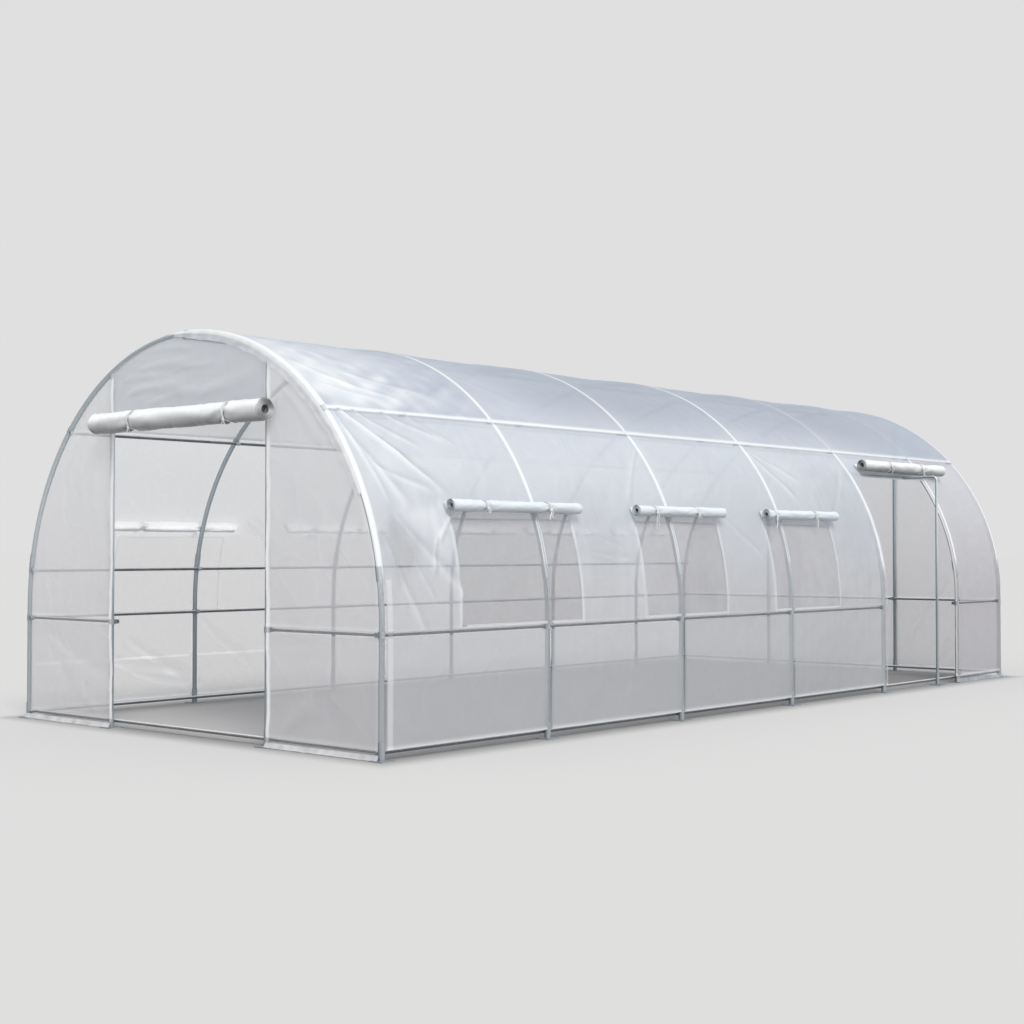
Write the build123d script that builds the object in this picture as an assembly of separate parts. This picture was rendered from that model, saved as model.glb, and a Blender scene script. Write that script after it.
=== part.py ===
from build123d import *
import os
from math import asin, cos, degrees, radians, sin, sqrt

# Polytunnel greenhouse: a galvanised tube frame of hoops, rails and posts, covered with
# translucent film. The tunnel runs along Y with its front end towards -Y. Millimetres, Z up,
# the ground at Z = 0 and the origin at the middle of the covered floor.

# Overall sizes
HALF_WIDTH = 1500.0  # tunnel centre to the middle of a hoop leg
LEG_TOP = 650.0  # the hoops are straight up to here, and half round above
BAY = 1210.0  # from one hoop to the next
SIDE_DOOR_BAY = 1130.0  # the bay with the side door
END_BAY = 720.0  # the short last bay
BAY_COUNT = 4  # whole bays before the side door

# Tubes
HOOP_R = 14.0
POST_R = 12.5
RAIL_R = 9.5

# Rails
GROUND_RAIL_Z = 38.0
SIDE_RAIL_Z = 592.0
MID_RAIL_Z = 870.0
PURLIN_ANGLE = 43.5  # degrees above level, seen from the middle of the half round

# Ends and doors
DOOR_POST_X = 670.0
BACK_POST_X = 605.0
DOOR_ROLL_Z = 1700.0
SIDE_POST_AFTER_HOOP = 810.0
SIDE_POST_BEND_R = 30.0
HEADER_Z = 1530.0
SIDE_DOOR_ROLL_Z = 1600.0

# Feet, sockets and sleeves
FOOT_SIZE = 90.0
FOOT_T = 5.0
SOCKET_TOP = 90.0
SOCKET_WALL = 2.7
RIGHT_SLEEVE_Z = 880.0
LEFT_SLEEVE_Z = 930.0  # above the clamps of the mid rail
SLEEVE_LENGTH = 70.0
CLAMP_WALL = 2.5
CLAMP_LAP = 0.8  # how far an end wall clamp's two rings run into each other, from each side
CLAMP_LENGTH = 34.0
BORE_REACH = 2.0  # how many times as long as its clamp a bore is

# Film
FILM_T = 2.0
FILM_BOTTOM = 52.0
SKIRT_TOP = 62.0
SKIRT_BOTTOM = 7.0
JAMB_LAP = 30.0  # how far the side film runs past the hoops beside the side door
GAP = 0.3  # between curved faces that touch

# Rolled-up film: radius of each roll, and of the straps that tie it
FRONT_ROLL_R = 65.0
SIDE_DOOR_ROLL_R = 45.0
WINDOW_ROLL_R = 35.0
TIE_T = 2.0
TIE_WIDTH = 22.0
FRONT_ROLL_PAST_POSTS = (30.0, 85.0)  # past the left and the right door post
FRONT_TIE_INSETS = (324.0, 200.0)  # from each door post to a strap, inwards
SIDE_DOOR_ROLL_START = 160.0  # after the hoop before the side door
SIDE_DOOR_ROLL_PAST = 255.0  # past the hoop after it
SIDE_DOOR_TIE_INSETS = (390.0, 350.0)  # from each end of the roll to a strap

# Windows: the hoop that each one crosses, counted from 0 at the front, how far before and
# after that hoop its roll reaches, and how far in from each end of the roll its straps are
RIGHT_WINDOWS = (
    (1, 690.0, 322.0, 255.0, 262.0),
    (2, 368.0, 513.0, 171.0, 290.0),
    (3, 215.0, 645.0, 95.0, 280.0),
)
LEFT_WINDOWS = (
    (1, 680.0, 290.0, 235.0, 285.0),
    (2, 455.0, 485.0, 235.0, 285.0),
    (3, 225.0, 705.0, 235.0, 285.0),
    (4, 360.0, 520.0, 235.0, 285.0),
    (5, 370.0, 430.0, 235.0, 285.0),
)
RIGHT_ROLL_Z = 1220.0
LEFT_ROLL_Z = 1140.0
RIGHT_SILL_Z = 622.0
LEFT_SILL_Z = 605.0
ROLL_OVER_HEAD = 70.0  # a window's opening ends this far under the middle of its roll
RIGHT_INSETS = (30.0, 50.0)  # from each end of a roll to its window's opening, inwards
LEFT_INSETS = (55.0, 105.0)

# Worked out from the sizes above
HOOP_Y = [i * BAY for i in range(BAY_COUNT + 1)]
SIDE_DOOR_Y = HOOP_Y[-1]
SIDE_JAMB_Y = SIDE_DOOR_Y + SIDE_DOOR_BAY
LENGTH = SIDE_JAMB_Y + END_BAY
HOOP_Y += [SIDE_JAMB_Y, LENGTH]
SIDE_POST_Y = SIDE_DOOR_Y + SIDE_POST_AFTER_HOOP

SOCKET_R = HOOP_R + GAP + SOCKET_WALL
RAIL_INSET = HOOP_R + GAP + RAIL_R  # hoop middle to the middle of a rail beside it
SLEEVE_RAIL_INSET = SOCKET_R + GAP + RAIL_R  # the same where a rail passes a socket or sleeve
END_CLAMP_WALL = (SLEEVE_RAIL_INSET - POST_R - RAIL_R) / 2 + CLAMP_LAP
FILM_IN = SOCKET_R + GAP  # hoop middle to the film, which lies over the sockets and sleeves
FILM_OUT = FILM_IN + FILM_T
END_FILM_R = HALF_WIDTH + FILM_IN - GAP  # an end wall's film reaches the side film
TIE_ROOM = TIE_T + 2 * GAP  # between the film and a roll, where a tie passes

FRONT_ROLL_OUT = FILM_OUT + TIE_ROOM + FRONT_ROLL_R
FRONT_REACH = FRONT_ROLL_OUT + FRONT_ROLL_R + GAP + TIE_T
BACK_REACH = FOOT_SIZE / 2
FRONT_Y = -(LENGTH + BACK_REACH - FRONT_REACH) / 2  # the front hoop, from the origin

FRONT_ROLL_X = (-DOOR_POST_X - FRONT_ROLL_PAST_POSTS[0], DOOR_POST_X + FRONT_ROLL_PAST_POSTS[1])
FRONT_TIE_X = (FRONT_TIE_INSETS[0] - DOOR_POST_X, DOOR_POST_X - FRONT_TIE_INSETS[1])
SIDE_DOOR_ROLL_Y = (SIDE_DOOR_Y + SIDE_DOOR_ROLL_START, SIDE_JAMB_Y + SIDE_DOOR_ROLL_PAST)
SIDE_DOOR_TIE_Y = (
    SIDE_DOOR_ROLL_Y[0] + SIDE_DOOR_TIE_INSETS[0],
    SIDE_DOOR_ROLL_Y[1] - SIDE_DOOR_TIE_INSETS[1],
)
SIDE_FILM_END = SIDE_DOOR_Y + JAMB_LAP
END_FILM_START = SIDE_JAMB_Y - JAMB_LAP

# The two end walls look outwards along -Y and +Y.
FRONT_WALL = (0.0, -1.0)
BACK_WALL = (LENGTH, 1.0)


def write(name, solids):
    """Writes one node, moved from the front hoop's frame to the part's own."""
    moved = [s.moved(Location((0, FRONT_Y, 0))) for s in solids]
    export_step(moved[0] if len(moved) == 1 else Compound(children=moved), f"parts/{name}.step")


def tube(start, end, radius):
    """A straight tube, as a solid bar, between two points."""
    line = Vector(*end) - Vector(*start)
    plane = Plane(origin=start, z_dir=line)
    return extrude(plane * Circle(radius), amount=line.length)


def ring(start, end, inner, outer):
    """A sleeve between two points."""
    line = Vector(*end) - Vector(*start)
    plane = Plane(origin=start, z_dir=line)
    return extrude(plane * (Circle(outer) - Circle(inner)), amount=line.length)


def on_arc(radius, angle):
    """X and Z of a point on the half round, at an angle above level on the right."""
    return radius * cos(radians(angle)), LEG_TOP + radius * sin(radians(angle))


def angle_at(radius, z):
    """The angle at which an arc of this radius passes a height."""
    return degrees(asin((z - LEG_TOP) / radius))


def half_round(y, radius, section, first=0.0, last=180.0):
    """A section carried round the arc from one angle to another."""
    centre = (0, y, LEG_TOP)
    at = Plane(origin=centre, x_dir=(1, 0, 0), z_dir=(0, -1, 0)).rotated((0, -first, 0))
    start = at.origin + at.x_dir * radius
    face = Plane(origin=start, x_dir=at.x_dir, z_dir=at.y_dir) * section
    return revolve(face, Axis(centre, (0, -1, 0)), revolution_arc=last - first)


def hoop(y):
    """Two straight legs under a half round, in one bent tube."""
    arch = half_round(y, HALF_WIDTH, Circle(HOOP_R))
    right = tube((HALF_WIDTH, y, FOOT_T), (HALF_WIDTH, y, LEG_TOP), HOOP_R)
    left = tube((-HALF_WIDTH, y, FOOT_T), (-HALF_WIDTH, y, LEG_TOP), HOOP_R)
    return arch + right + left


def foot(x, y, tube_radius):
    """A square plate with a short socket round the tube that stands on it."""
    plate = Pos(x, y, FOOT_T / 2) * Box(FOOT_SIZE, FOOT_SIZE, FOOT_T)
    inner = tube_radius + GAP
    socket = ring((x, y, FOOT_T), (x, y, SOCKET_TOP), inner, inner + SOCKET_WALL)
    return plate + socket


def splice(y, side):
    """The sleeve that joins a leg to the bent part of the hoop above it."""
    middle = angle_at(HALF_WIDTH, RIGHT_SLEEVE_Z if side > 0 else LEFT_SLEEVE_Z)
    half = degrees(SLEEVE_LENGTH / 2 / HALF_WIDTH)
    inner = HOOP_R + GAP
    section = Circle(inner + SOCKET_WALL) - Circle(inner)
    sleeve = half_round(y, HALF_WIDTH, section, middle - half, middle + half)
    return sleeve if side > 0 else mirror(sleeve, Plane.YZ)


def cross_clamp(place, towards_rail, upright, rail, upright_r, distance, wall):
    """Two short sleeves made as one, round an upright tube and the rail that crosses it.

    place is on the upright's middle line, and the three directions are unit vectors. The
    bores are longer than the sleeves, so that each cuts through the other sleeve's wall.
    """
    middle = Vector(*place)
    aside = middle + Vector(*towards_rail) * distance
    up = Vector(*upright) * (CLAMP_LENGTH / 2)
    along = Vector(*rail) * (CLAMP_LENGTH / 2)
    upright_bore = upright_r + GAP
    rail_bore = RAIL_R + GAP
    bore_up = up * BORE_REACH
    bore_along = along * BORE_REACH
    sleeve_a = tube(middle - up, middle + up, upright_bore + wall)
    sleeve_b = tube(aside - along, aside + along, rail_bore + wall)
    bore_a = tube(middle - bore_up, middle + bore_up, upright_bore)
    bore_b = tube(aside - bore_along, aside + bore_along, rail_bore)
    return sleeve_a + sleeve_b - bore_a - bore_b


def arc_clamp(y, angle):
    """A clamp where a purlin or rail passes inside the half round."""
    x, z = on_arc(HALF_WIDTH, angle)
    inward = (-cos(radians(angle)), 0, -sin(radians(angle)))
    upright = (-sin(radians(angle)), 0, cos(radians(angle)))
    return cross_clamp((x, y, z), inward, upright, (0, 1, 0), HOOP_R, RAIL_INSET, CLAMP_WALL)


def leg_clamp(y, side, z):
    """A clamp where a side rail passes inside a straight leg."""
    place = (side * HALF_WIDTH, y, z)
    inward = (-side, 0, 0)
    return cross_clamp(place, inward, (0, 0, 1), (0, 1, 0), HOOP_R, RAIL_INSET, CLAMP_WALL)


def along_rail(x, z, start, end):
    """A rail along the tunnel, between two distances behind the front hoop."""
    return tube((x, start, z), (x, end, z), RAIL_R)


def film_strip(low, high, start, end, side=1):
    """Side film along the tunnel, from one height or angle to another.

    low is ("z", height) on the straight part of the wall, or ("angle", degrees) on the half
    round; high is an angle.
    """
    inner = HALF_WIDTH + FILM_IN
    outer = HALF_WIDTH + FILM_OUT
    kind, value = low
    first = 0.0 if kind == "z" else value
    span = high - first
    arc_in = CenterArc((0, LEG_TOP), inner, first, span)
    arc_out = CenterArc((0, LEG_TOP), outer, first, span)
    edges = [arc_in, arc_out, Line(arc_in @ 1, arc_out @ 1)]
    if kind == "z":
        corner_in = (inner, value)
        corner_out = (outer, value)
        edges += [Line(arc_in @ 0, corner_in), Line(corner_in, corner_out)]
        edges += [Line(corner_out, arc_out @ 0)]
    else:
        edges += [Line(arc_in @ 0, arc_out @ 0)]
    strip = film_prism(make_face(edges), start, end)
    return strip if side > 0 else mirror(strip, Plane.YZ)


def film_prism(outline, start, end):
    """An outline drawn in X and Z, carried along the tunnel."""
    plane = Plane(origin=(0, start, 0), x_dir=(1, 0, 0), z_dir=(0, -1, 0))
    return extrude(plane * outline, amount=-(end - start))


def flat_film(low, high, start, end, side):
    """Side film on the straight part of the wall."""
    x = side * (HALF_WIDTH + FILM_IN + FILM_T / 2)
    middle = (x, (start + end) / 2, (low + high) / 2)
    return Pos(*middle) * Box(FILM_T, end - start, high - low)


def wall_film(wall, left, right, bottom, top=None):
    """End wall film between two X, from a height up to the half round or to a second height."""
    y, outwards = wall
    radius = END_FILM_R
    roof = Pos(0, LEG_TOP) * Circle(radius)
    legs = Pos(0, LEG_TOP / 2) * Rectangle(2 * radius, LEG_TOP)
    height = (top or LEG_TOP + radius) - bottom
    window = Pos((left + right) / 2, bottom + height / 2) * Rectangle(right - left, height)
    outline = (roof + legs) & window
    near = y + outwards * FILM_IN
    far = y + outwards * FILM_OUT
    return film_prism(outline, min(near, far), max(near, far))


def end_post(wall, x):
    """An end wall post, cut to sit under the half round of its hoop."""
    y = wall[0]
    top = LEG_TOP + sqrt(HALF_WIDTH**2 - x**2)
    post = tube((x, y, FOOT_T), (x, y, top), POST_R)
    return post - half_round(y, HALF_WIDTH, Circle(HOOP_R + GAP))


def side_door_post():
    """An upright in the side door, bent over at the top to meet the header."""
    header_x, _ = on_arc(HALF_WIDTH, angle_at(HALF_WIDTH, HEADER_Z))
    end_x = header_x + RAIL_R + GAP
    path = FilletPolyline(
        (HALF_WIDTH, SIDE_POST_Y, FOOT_T),
        (HALF_WIDTH, SIDE_POST_Y, HEADER_Z),
        (end_x, SIDE_POST_Y, HEADER_Z),
        radius=SIDE_POST_BEND_R,
    )
    section = Plane(origin=path @ 0, z_dir=(0, 0, 1)) * Circle(RAIL_R)
    return sweep(section, path=path)


def roll_place(radius, z):
    """X of the middle of a roll that lies against the curved side, at a height."""
    reach = HALF_WIDTH + FILM_OUT + TIE_ROOM + radius
    return reach * cos(radians(angle_at(reach, z)))


def side_roll(radius, z, start, end, side):
    """A roll of film along the side of the tunnel."""
    x = side * roll_place(radius, z)
    return tube((x, start, z), (x, end, z), radius)


def side_tie(radius, z, y, side):
    """A strap round a side roll."""
    x = side * roll_place(radius, z)
    inner = radius + GAP
    return ring((x, y - TIE_WIDTH / 2, z), (x, y + TIE_WIDTH / 2, z), inner, inner + TIE_T)


def window_roll(window):
    """Where a window's roll starts and ends along the tunnel."""
    n, before, after = window[:3]
    return HOOP_Y[n] - before, HOOP_Y[n] + after


def window_opening(window, insets):
    """Where a window's opening starts and ends along the tunnel."""
    near, far = window_roll(window)
    return near + insets[0], far - insets[1]


def window_straps(window):
    """Where a window's two straps are along the tunnel."""
    near, far = window_roll(window)
    return near + window[3], far - window[4]


def head_angle(roll_z):
    """The angle at which a window's opening ends under its roll."""
    return angle_at(HALF_WIDTH + FILM_IN, roll_z - ROLL_OVER_HEAD)


def between(openings, start, end):
    """The stretches of wall before, between and after a row of openings."""
    edges = [start] + [y for opening in openings for y in opening] + [end]
    return list(zip(edges[::2], edges[1::2]))


def piers(windows, insets, sill, roll_z, start, end, side):
    """The film between a wall's windows: a flat part under a curved one, in one piece."""
    openings = [window_opening(window, insets) for window in windows]
    low = ("z", sill)
    return [
        film_strip(low, head_angle(roll_z), near, far, side)
        for near, far in between(openings, start, end)
    ]


def write_hoops():
    names = ["front_hoop", "hoop_2", "hoop_3", "hoop_4", "hoop_5", "side_door_hoop", "end_hoop"]
    for name, y in zip(names, HOOP_Y):
        write(name, [hoop(y)])


def write_feet():
    write("feet_right", [foot(HALF_WIDTH, y, HOOP_R) for y in HOOP_Y])
    write("feet_left", [foot(-HALF_WIDTH, y, HOOP_R) for y in HOOP_Y])
    write("front_door_feet", [foot(x, 0, POST_R) for x in (-DOOR_POST_X, DOOR_POST_X)])
    write("back_post_feet", [foot(x, LENGTH, POST_R) for x in (-BACK_POST_X, BACK_POST_X)])
    write("side_door_foot", [foot(HALF_WIDTH, SIDE_POST_Y, RAIL_R)])


def write_rails():
    near, far = -HOOP_R, LENGTH + HOOP_R
    reach = HALF_WIDTH - RAIL_INSET
    write("ridge_purlin", [along_rail(0, LEG_TOP + reach, near, far)])
    x, z = on_arc(reach, PURLIN_ANGLE)
    write("purlin_right", [along_rail(x, z, near, far)])
    write("purlin_left", [along_rail(-x, z, near, far)])
    write("side_rail_left", [along_rail(-reach, SIDE_RAIL_Z, near, far)])
    write("side_rail_right", [along_rail(reach, SIDE_RAIL_Z, near, SIDE_DOOR_Y + HOOP_R)])
    write("side_rail_right_end", [along_rail(reach, SIDE_RAIL_Z, SIDE_JAMB_Y - HOOP_R, far)])
    x, _ = on_arc(reach, angle_at(reach, MID_RAIL_Z))
    write("mid_rail_left", [along_rail(-x, MID_RAIL_Z, near, far)])
    ground = HALF_WIDTH - SLEEVE_RAIL_INSET
    write("ground_rail_left", [along_rail(-ground, GROUND_RAIL_Z, near, far)])
    write("ground_rail_right", [along_rail(ground, GROUND_RAIL_Z, near, far)])


def cross_rail(wall, left, right, z):
    """A rail across an end wall, just inside its posts and hoop legs."""
    y = wall[0] - wall[1] * SLEEVE_RAIL_INSET
    return tube((left, y, z), (right, y, z), RAIL_R)


def write_end_rails():
    to_rail = RAIL_R + GAP
    ground = HALF_WIDTH - SLEEVE_RAIL_INSET - to_rail
    for name, wall in (("ground_rail_front", FRONT_WALL), ("ground_rail_back", BACK_WALL)):
        write(name, [cross_rail(wall, -ground, ground, GROUND_RAIL_Z)])
    reach = HALF_WIDTH - RAIL_INSET - to_rail
    inner = DOOR_POST_X - POST_R
    write("front_rail_left", [cross_rail(FRONT_WALL, -reach, -inner, SIDE_RAIL_Z)])
    write("front_rail_right", [cross_rail(FRONT_WALL, inner, reach, SIDE_RAIL_Z)])
    write("back_rail", [cross_rail(BACK_WALL, -reach, reach, SIDE_RAIL_Z)])


def write_posts():
    write("front_door_post_left", [end_post(FRONT_WALL, -DOOR_POST_X)])
    write("front_door_post_right", [end_post(FRONT_WALL, DOOR_POST_X)])
    write("back_post_left", [end_post(BACK_WALL, -BACK_POST_X)])
    write("back_post_right", [end_post(BACK_WALL, BACK_POST_X)])
    write("side_door_post", [side_door_post()])
    x, _ = on_arc(HALF_WIDTH, angle_at(HALF_WIDTH, HEADER_Z))
    start = SIDE_DOOR_Y + HOOP_R + GAP
    write("side_door_header", [along_rail(x, HEADER_Z, start, SIDE_JAMB_Y - HOOP_R - GAP)])


def end_clamp(wall, x):
    """A clamp where an end wall's cross rail passes one of its posts."""
    y, outwards = wall
    place, inward = (x, y, SIDE_RAIL_Z), (0, -outwards, 0)
    return cross_clamp(
        place, inward, (0, 0, 1), (1, 0, 0), POST_R, SLEEVE_RAIL_INSET, END_CLAMP_WALL
    )


def write_fittings():
    write("hoop_splices", [splice(y, side) for y in HOOP_Y for side in (-1, 1)])
    purlins = (PURLIN_ANGLE, 90.0, 180.0 - PURLIN_ANGLE)
    write("purlin_clamps", [arc_clamp(y, angle) for y in HOOP_Y for angle in purlins])
    mid = 180.0 - angle_at(HALF_WIDTH - RAIL_INSET, MID_RAIL_Z)
    left = [leg_clamp(y, -1, SIDE_RAIL_Z) for y in HOOP_Y]
    left += [arc_clamp(y, mid) for y in HOOP_Y]
    right = [leg_clamp(y, 1, SIDE_RAIL_Z) for y in HOOP_Y]
    write("side_rail_clamps", left + right)
    ends = [end_clamp(FRONT_WALL, x) for x in (-DOOR_POST_X, DOOR_POST_X)]
    ends += [end_clamp(BACK_WALL, x) for x in (-BACK_POST_X, BACK_POST_X)]
    write("end_rail_clamps", ends)


def write_side_film():
    near, far = -FILM_OUT, LENGTH + FILM_OUT
    write("roof_film", [film_strip(("angle", PURLIN_ANGLE), 180.0 - PURLIN_ANGLE, near, far)])

    end = SIDE_FILM_END
    right = head_angle(RIGHT_ROLL_Z)
    write("right_film_lower", [flat_film(FILM_BOTTOM, RIGHT_SILL_Z, near, end, 1)])
    right_piers = piers(RIGHT_WINDOWS, RIGHT_INSETS, RIGHT_SILL_Z, RIGHT_ROLL_Z, near, end, 1)
    write("right_film_piers", right_piers)
    write("right_film_upper", [film_strip(("angle", right), PURLIN_ANGLE, near, end)])
    head = angle_at(HALF_WIDTH + FILM_IN, HEADER_Z + 2 * RAIL_R)
    write("side_door_film_head", [film_strip(("angle", head), PURLIN_ANGLE, end, END_FILM_START)])
    write("right_film_end", [film_strip(("z", FILM_BOTTOM), PURLIN_ANGLE, END_FILM_START, far)])

    left = head_angle(LEFT_ROLL_Z)
    write("left_film_lower", [flat_film(FILM_BOTTOM, LEFT_SILL_Z, near, far, -1)])
    left_piers = piers(LEFT_WINDOWS, LEFT_INSETS, LEFT_SILL_Z, LEFT_ROLL_Z, near, far, -1)
    write("left_film_piers", left_piers)
    write("left_film_upper", [film_strip(("angle", left), PURLIN_ANGLE, near, far, -1)])


def write_end_film():
    edge = END_FILM_R
    write("front_film_left", [wall_film(FRONT_WALL, -edge, -DOOR_POST_X, FILM_BOTTOM)])
    write("front_film_right", [wall_film(FRONT_WALL, DOOR_POST_X, edge, FILM_BOTTOM)])
    write("front_gable_film", [wall_film(FRONT_WALL, -DOOR_POST_X, DOOR_POST_X, DOOR_ROLL_Z)])
    write("back_film", [wall_film(BACK_WALL, -edge, edge, FILM_BOTTOM)])


def write_skirts():
    """Flaps of film that hang outside the bottom of a panel and cover the ground rail."""
    height = SKIRT_TOP - SKIRT_BOTTOM
    z = SKIRT_BOTTOM + height / 2
    out = FILM_OUT + GAP + FILM_T / 2
    width = END_FILM_R - DOOR_POST_X
    x = DOOR_POST_X + width / 2
    front = [Pos(side * x, -out, z) * Box(width, FILM_T, height) for side in (-1, 1)]
    write("front_skirts", front)
    start, end = END_FILM_START, LENGTH + FILM_OUT
    side = Pos(HALF_WIDTH + out, (start + end) / 2, z) * Box(FILM_T, end - start, height)
    write("side_end_skirt", [side])


def write_rolls():
    y = -FRONT_ROLL_OUT
    left, right = FRONT_ROLL_X
    write("front_door_roll", [tube((left, y, DOOR_ROLL_Z), (right, y, DOOR_ROLL_Z), FRONT_ROLL_R)])
    start, end = SIDE_DOOR_ROLL_Y
    side_door = side_roll(SIDE_DOOR_ROLL_R, SIDE_DOOR_ROLL_Z, start, end, 1)
    write("side_door_roll", [side_door])
    for name, windows, z, side in (
        ("right_window_rolls", RIGHT_WINDOWS, RIGHT_ROLL_Z, 1),
        ("left_window_rolls", LEFT_WINDOWS, LEFT_ROLL_Z, -1),
    ):
        write(name, [side_roll(WINDOW_ROLL_R, z, *window_roll(w), side) for w in windows])


def write_ties():
    inner = FRONT_ROLL_R + GAP
    y = -FRONT_ROLL_OUT
    half = TIE_WIDTH / 2
    ties = [
        ring((x - half, y, DOOR_ROLL_Z), (x + half, y, DOOR_ROLL_Z), inner, inner + TIE_T)
        for x in FRONT_TIE_X
    ]
    ties += [side_tie(SIDE_DOOR_ROLL_R, SIDE_DOOR_ROLL_Z, y, 1) for y in SIDE_DOOR_TIE_Y]
    write("door_roll_ties", ties)
    ties = [
        side_tie(WINDOW_ROLL_R, z, y, side)
        for windows, z, side in ((RIGHT_WINDOWS, RIGHT_ROLL_Z, 1), (LEFT_WINDOWS, LEFT_ROLL_Z, -1))
        for window in windows
        for y in window_straps(window)
    ]
    write("window_roll_ties", ties)


os.makedirs("parts", exist_ok=True)
write_hoops()
write_feet()
write_rails()
write_end_rails()
write_posts()
write_fittings()
write_side_film()
write_end_film()
write_skirts()
write_rolls()
write_ties()
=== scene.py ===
import math

import bpy
import numpy as np
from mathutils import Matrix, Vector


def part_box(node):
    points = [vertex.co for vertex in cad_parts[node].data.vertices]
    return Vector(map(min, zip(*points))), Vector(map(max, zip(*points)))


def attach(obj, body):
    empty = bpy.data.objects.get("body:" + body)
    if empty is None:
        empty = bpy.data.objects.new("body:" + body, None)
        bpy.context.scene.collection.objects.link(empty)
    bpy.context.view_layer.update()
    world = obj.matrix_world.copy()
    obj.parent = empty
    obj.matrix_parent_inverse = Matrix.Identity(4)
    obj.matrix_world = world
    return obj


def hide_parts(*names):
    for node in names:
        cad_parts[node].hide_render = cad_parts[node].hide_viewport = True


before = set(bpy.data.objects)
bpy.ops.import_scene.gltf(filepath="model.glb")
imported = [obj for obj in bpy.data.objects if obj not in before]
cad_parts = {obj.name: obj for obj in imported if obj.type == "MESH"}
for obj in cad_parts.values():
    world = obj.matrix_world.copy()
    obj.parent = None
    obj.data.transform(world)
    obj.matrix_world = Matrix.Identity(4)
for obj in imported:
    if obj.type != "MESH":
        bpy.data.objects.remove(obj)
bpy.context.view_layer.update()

scene = bpy.context.scene

# Camera, light and ground: a pale floor under soft daylight that comes mostly from above,
# with a wide sun from the front right, seen from standing height near the front right corner.
CAMERA_PLACE = (6.954, -8.5524, 1.0)
CAMERA_TURN = (91.31, 0.0, 41.39)
CAMERA_LENS = 56.37
PALE = 0.745
SKY_COLOUR = (0.955, 0.985, 1.0, 1.0)
SKY_LOW, SKY_HIGH = 0.50, 0.85
SUN_STRENGTH, SUN_SPREAD = 1.6, 24.0
SUN_FROM = (0.58, -0.40, 0.71)
SUN_COLOUR = (1.0, 0.985, 0.96)
FLOOR_COLOUR = (0.700, 0.686, 0.681, 1.0)
FLOOR_HALF = 200.0
WALL_X, WALL_Y, MIDDLE_Y = 1.51, 3.345, 0.054  # the walls' foot, and the tunnel's middle


def add_node(tree, kind, values=(), **settings):
    """A shader node, with its inputs set from numbers, colours or other nodes' outputs."""
    made = tree.nodes.new("ShaderNode" + kind)
    for key, value in settings.items():
        setattr(made, key, value)
    for key, value in dict(values).items():
        if isinstance(value, bpy.types.NodeSocket):
            tree.links.new(value, made.inputs[key])
        else:
            made.inputs[key].default_value = value
    return made


def output(tree, kind, values=(), **settings):
    """The first output of a new node."""
    return add_node(tree, kind, values, **settings).outputs[0]


def math_node(tree, operation, *values):
    """The result of one sum on numbers or sockets."""
    return output(tree, "Math", dict(enumerate(values)), operation=operation)


def range_node(tree, value, low, high, to_low=0.0, to_high=1.0, **settings):
    """A number carried from one range to another, and held at its ends."""
    return output(tree, "MapRange", {0: value, 1: low, 2: high, 3: to_low, 4: to_high}, **settings)


def parts_of(tree, vector):
    """The three numbers of a vector."""
    return add_node(tree, "SeparateXYZ", {0: vector}).outputs


def mix_colours(tree, factor, a, b, blend="MIX"):
    """One colour laid over another by a factor."""
    values = {0: factor, 6: a, 7: b}
    return add_node(tree, "Mix", values, data_type="RGBA", blend_type=blend).outputs[2]


def darkened(tree, colour, factor):
    """A colour times a number."""
    grey = output(tree, "CombineColor", {0: factor, 1: factor, 2: factor})
    return mix_colours(tree, 1.0, colour, grey, "MULTIPLY")


def new_material(name):
    """An empty material, its tree and its output's surface input."""
    made = bpy.data.materials.new(name)
    made.use_nodes = True
    made.node_tree.nodes.clear()
    return made, made.node_tree, add_node(made.node_tree, "OutputMaterial").inputs["Surface"]


camera = bpy.data.objects.new("camera", bpy.data.cameras.new("camera"))
camera.data.lens = CAMERA_LENS
camera.data.clip_end = 600.0
camera.location = CAMERA_PLACE
camera.rotation_euler = [math.radians(turn) for turn in CAMERA_TURN]
scene.collection.objects.link(camera)
scene.camera = camera

world = bpy.data.worlds.new("daylight")
world.use_nodes = True
scene.world = world
tree = world.node_tree
tree.nodes.clear()
rays = add_node(tree, "LightPath").outputs
seen = math_node(tree, "MAXIMUM", rays["Is Camera Ray"], rays["Is Glossy Ray"])
seen = math_node(tree, "MAXIMUM", seen, rays["Is Transmission Ray"])
up = parts_of(tree, add_node(tree, "TexCoord").outputs["Generated"])[2]
level = range_node(tree, up, 0.0, 1.0, SKY_LOW, SKY_HIGH)
sky = output(tree, "Background", {"Color": SKY_COLOUR, "Strength": level})
pale = output(tree, "Background", {"Color": (PALE, PALE, PALE, 1.0)})
add_node(tree, "OutputWorld", {0: output(tree, "MixShader", {0: seen, 1: sky, 2: pale})})

sun = bpy.data.objects.new("sun", bpy.data.lights.new("sun", "SUN"))
sun.data.energy = SUN_STRENGTH
sun.data.angle = math.radians(SUN_SPREAD)
sun.data.color = SUN_COLOUR
sun.rotation_euler = (
    math.acos(SUN_FROM[2] / math.hypot(*SUN_FROM)),
    0.0,
    math.atan2(SUN_FROM[0], -SUN_FROM[1]),
)
scene.collection.objects.link(sun)

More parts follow.
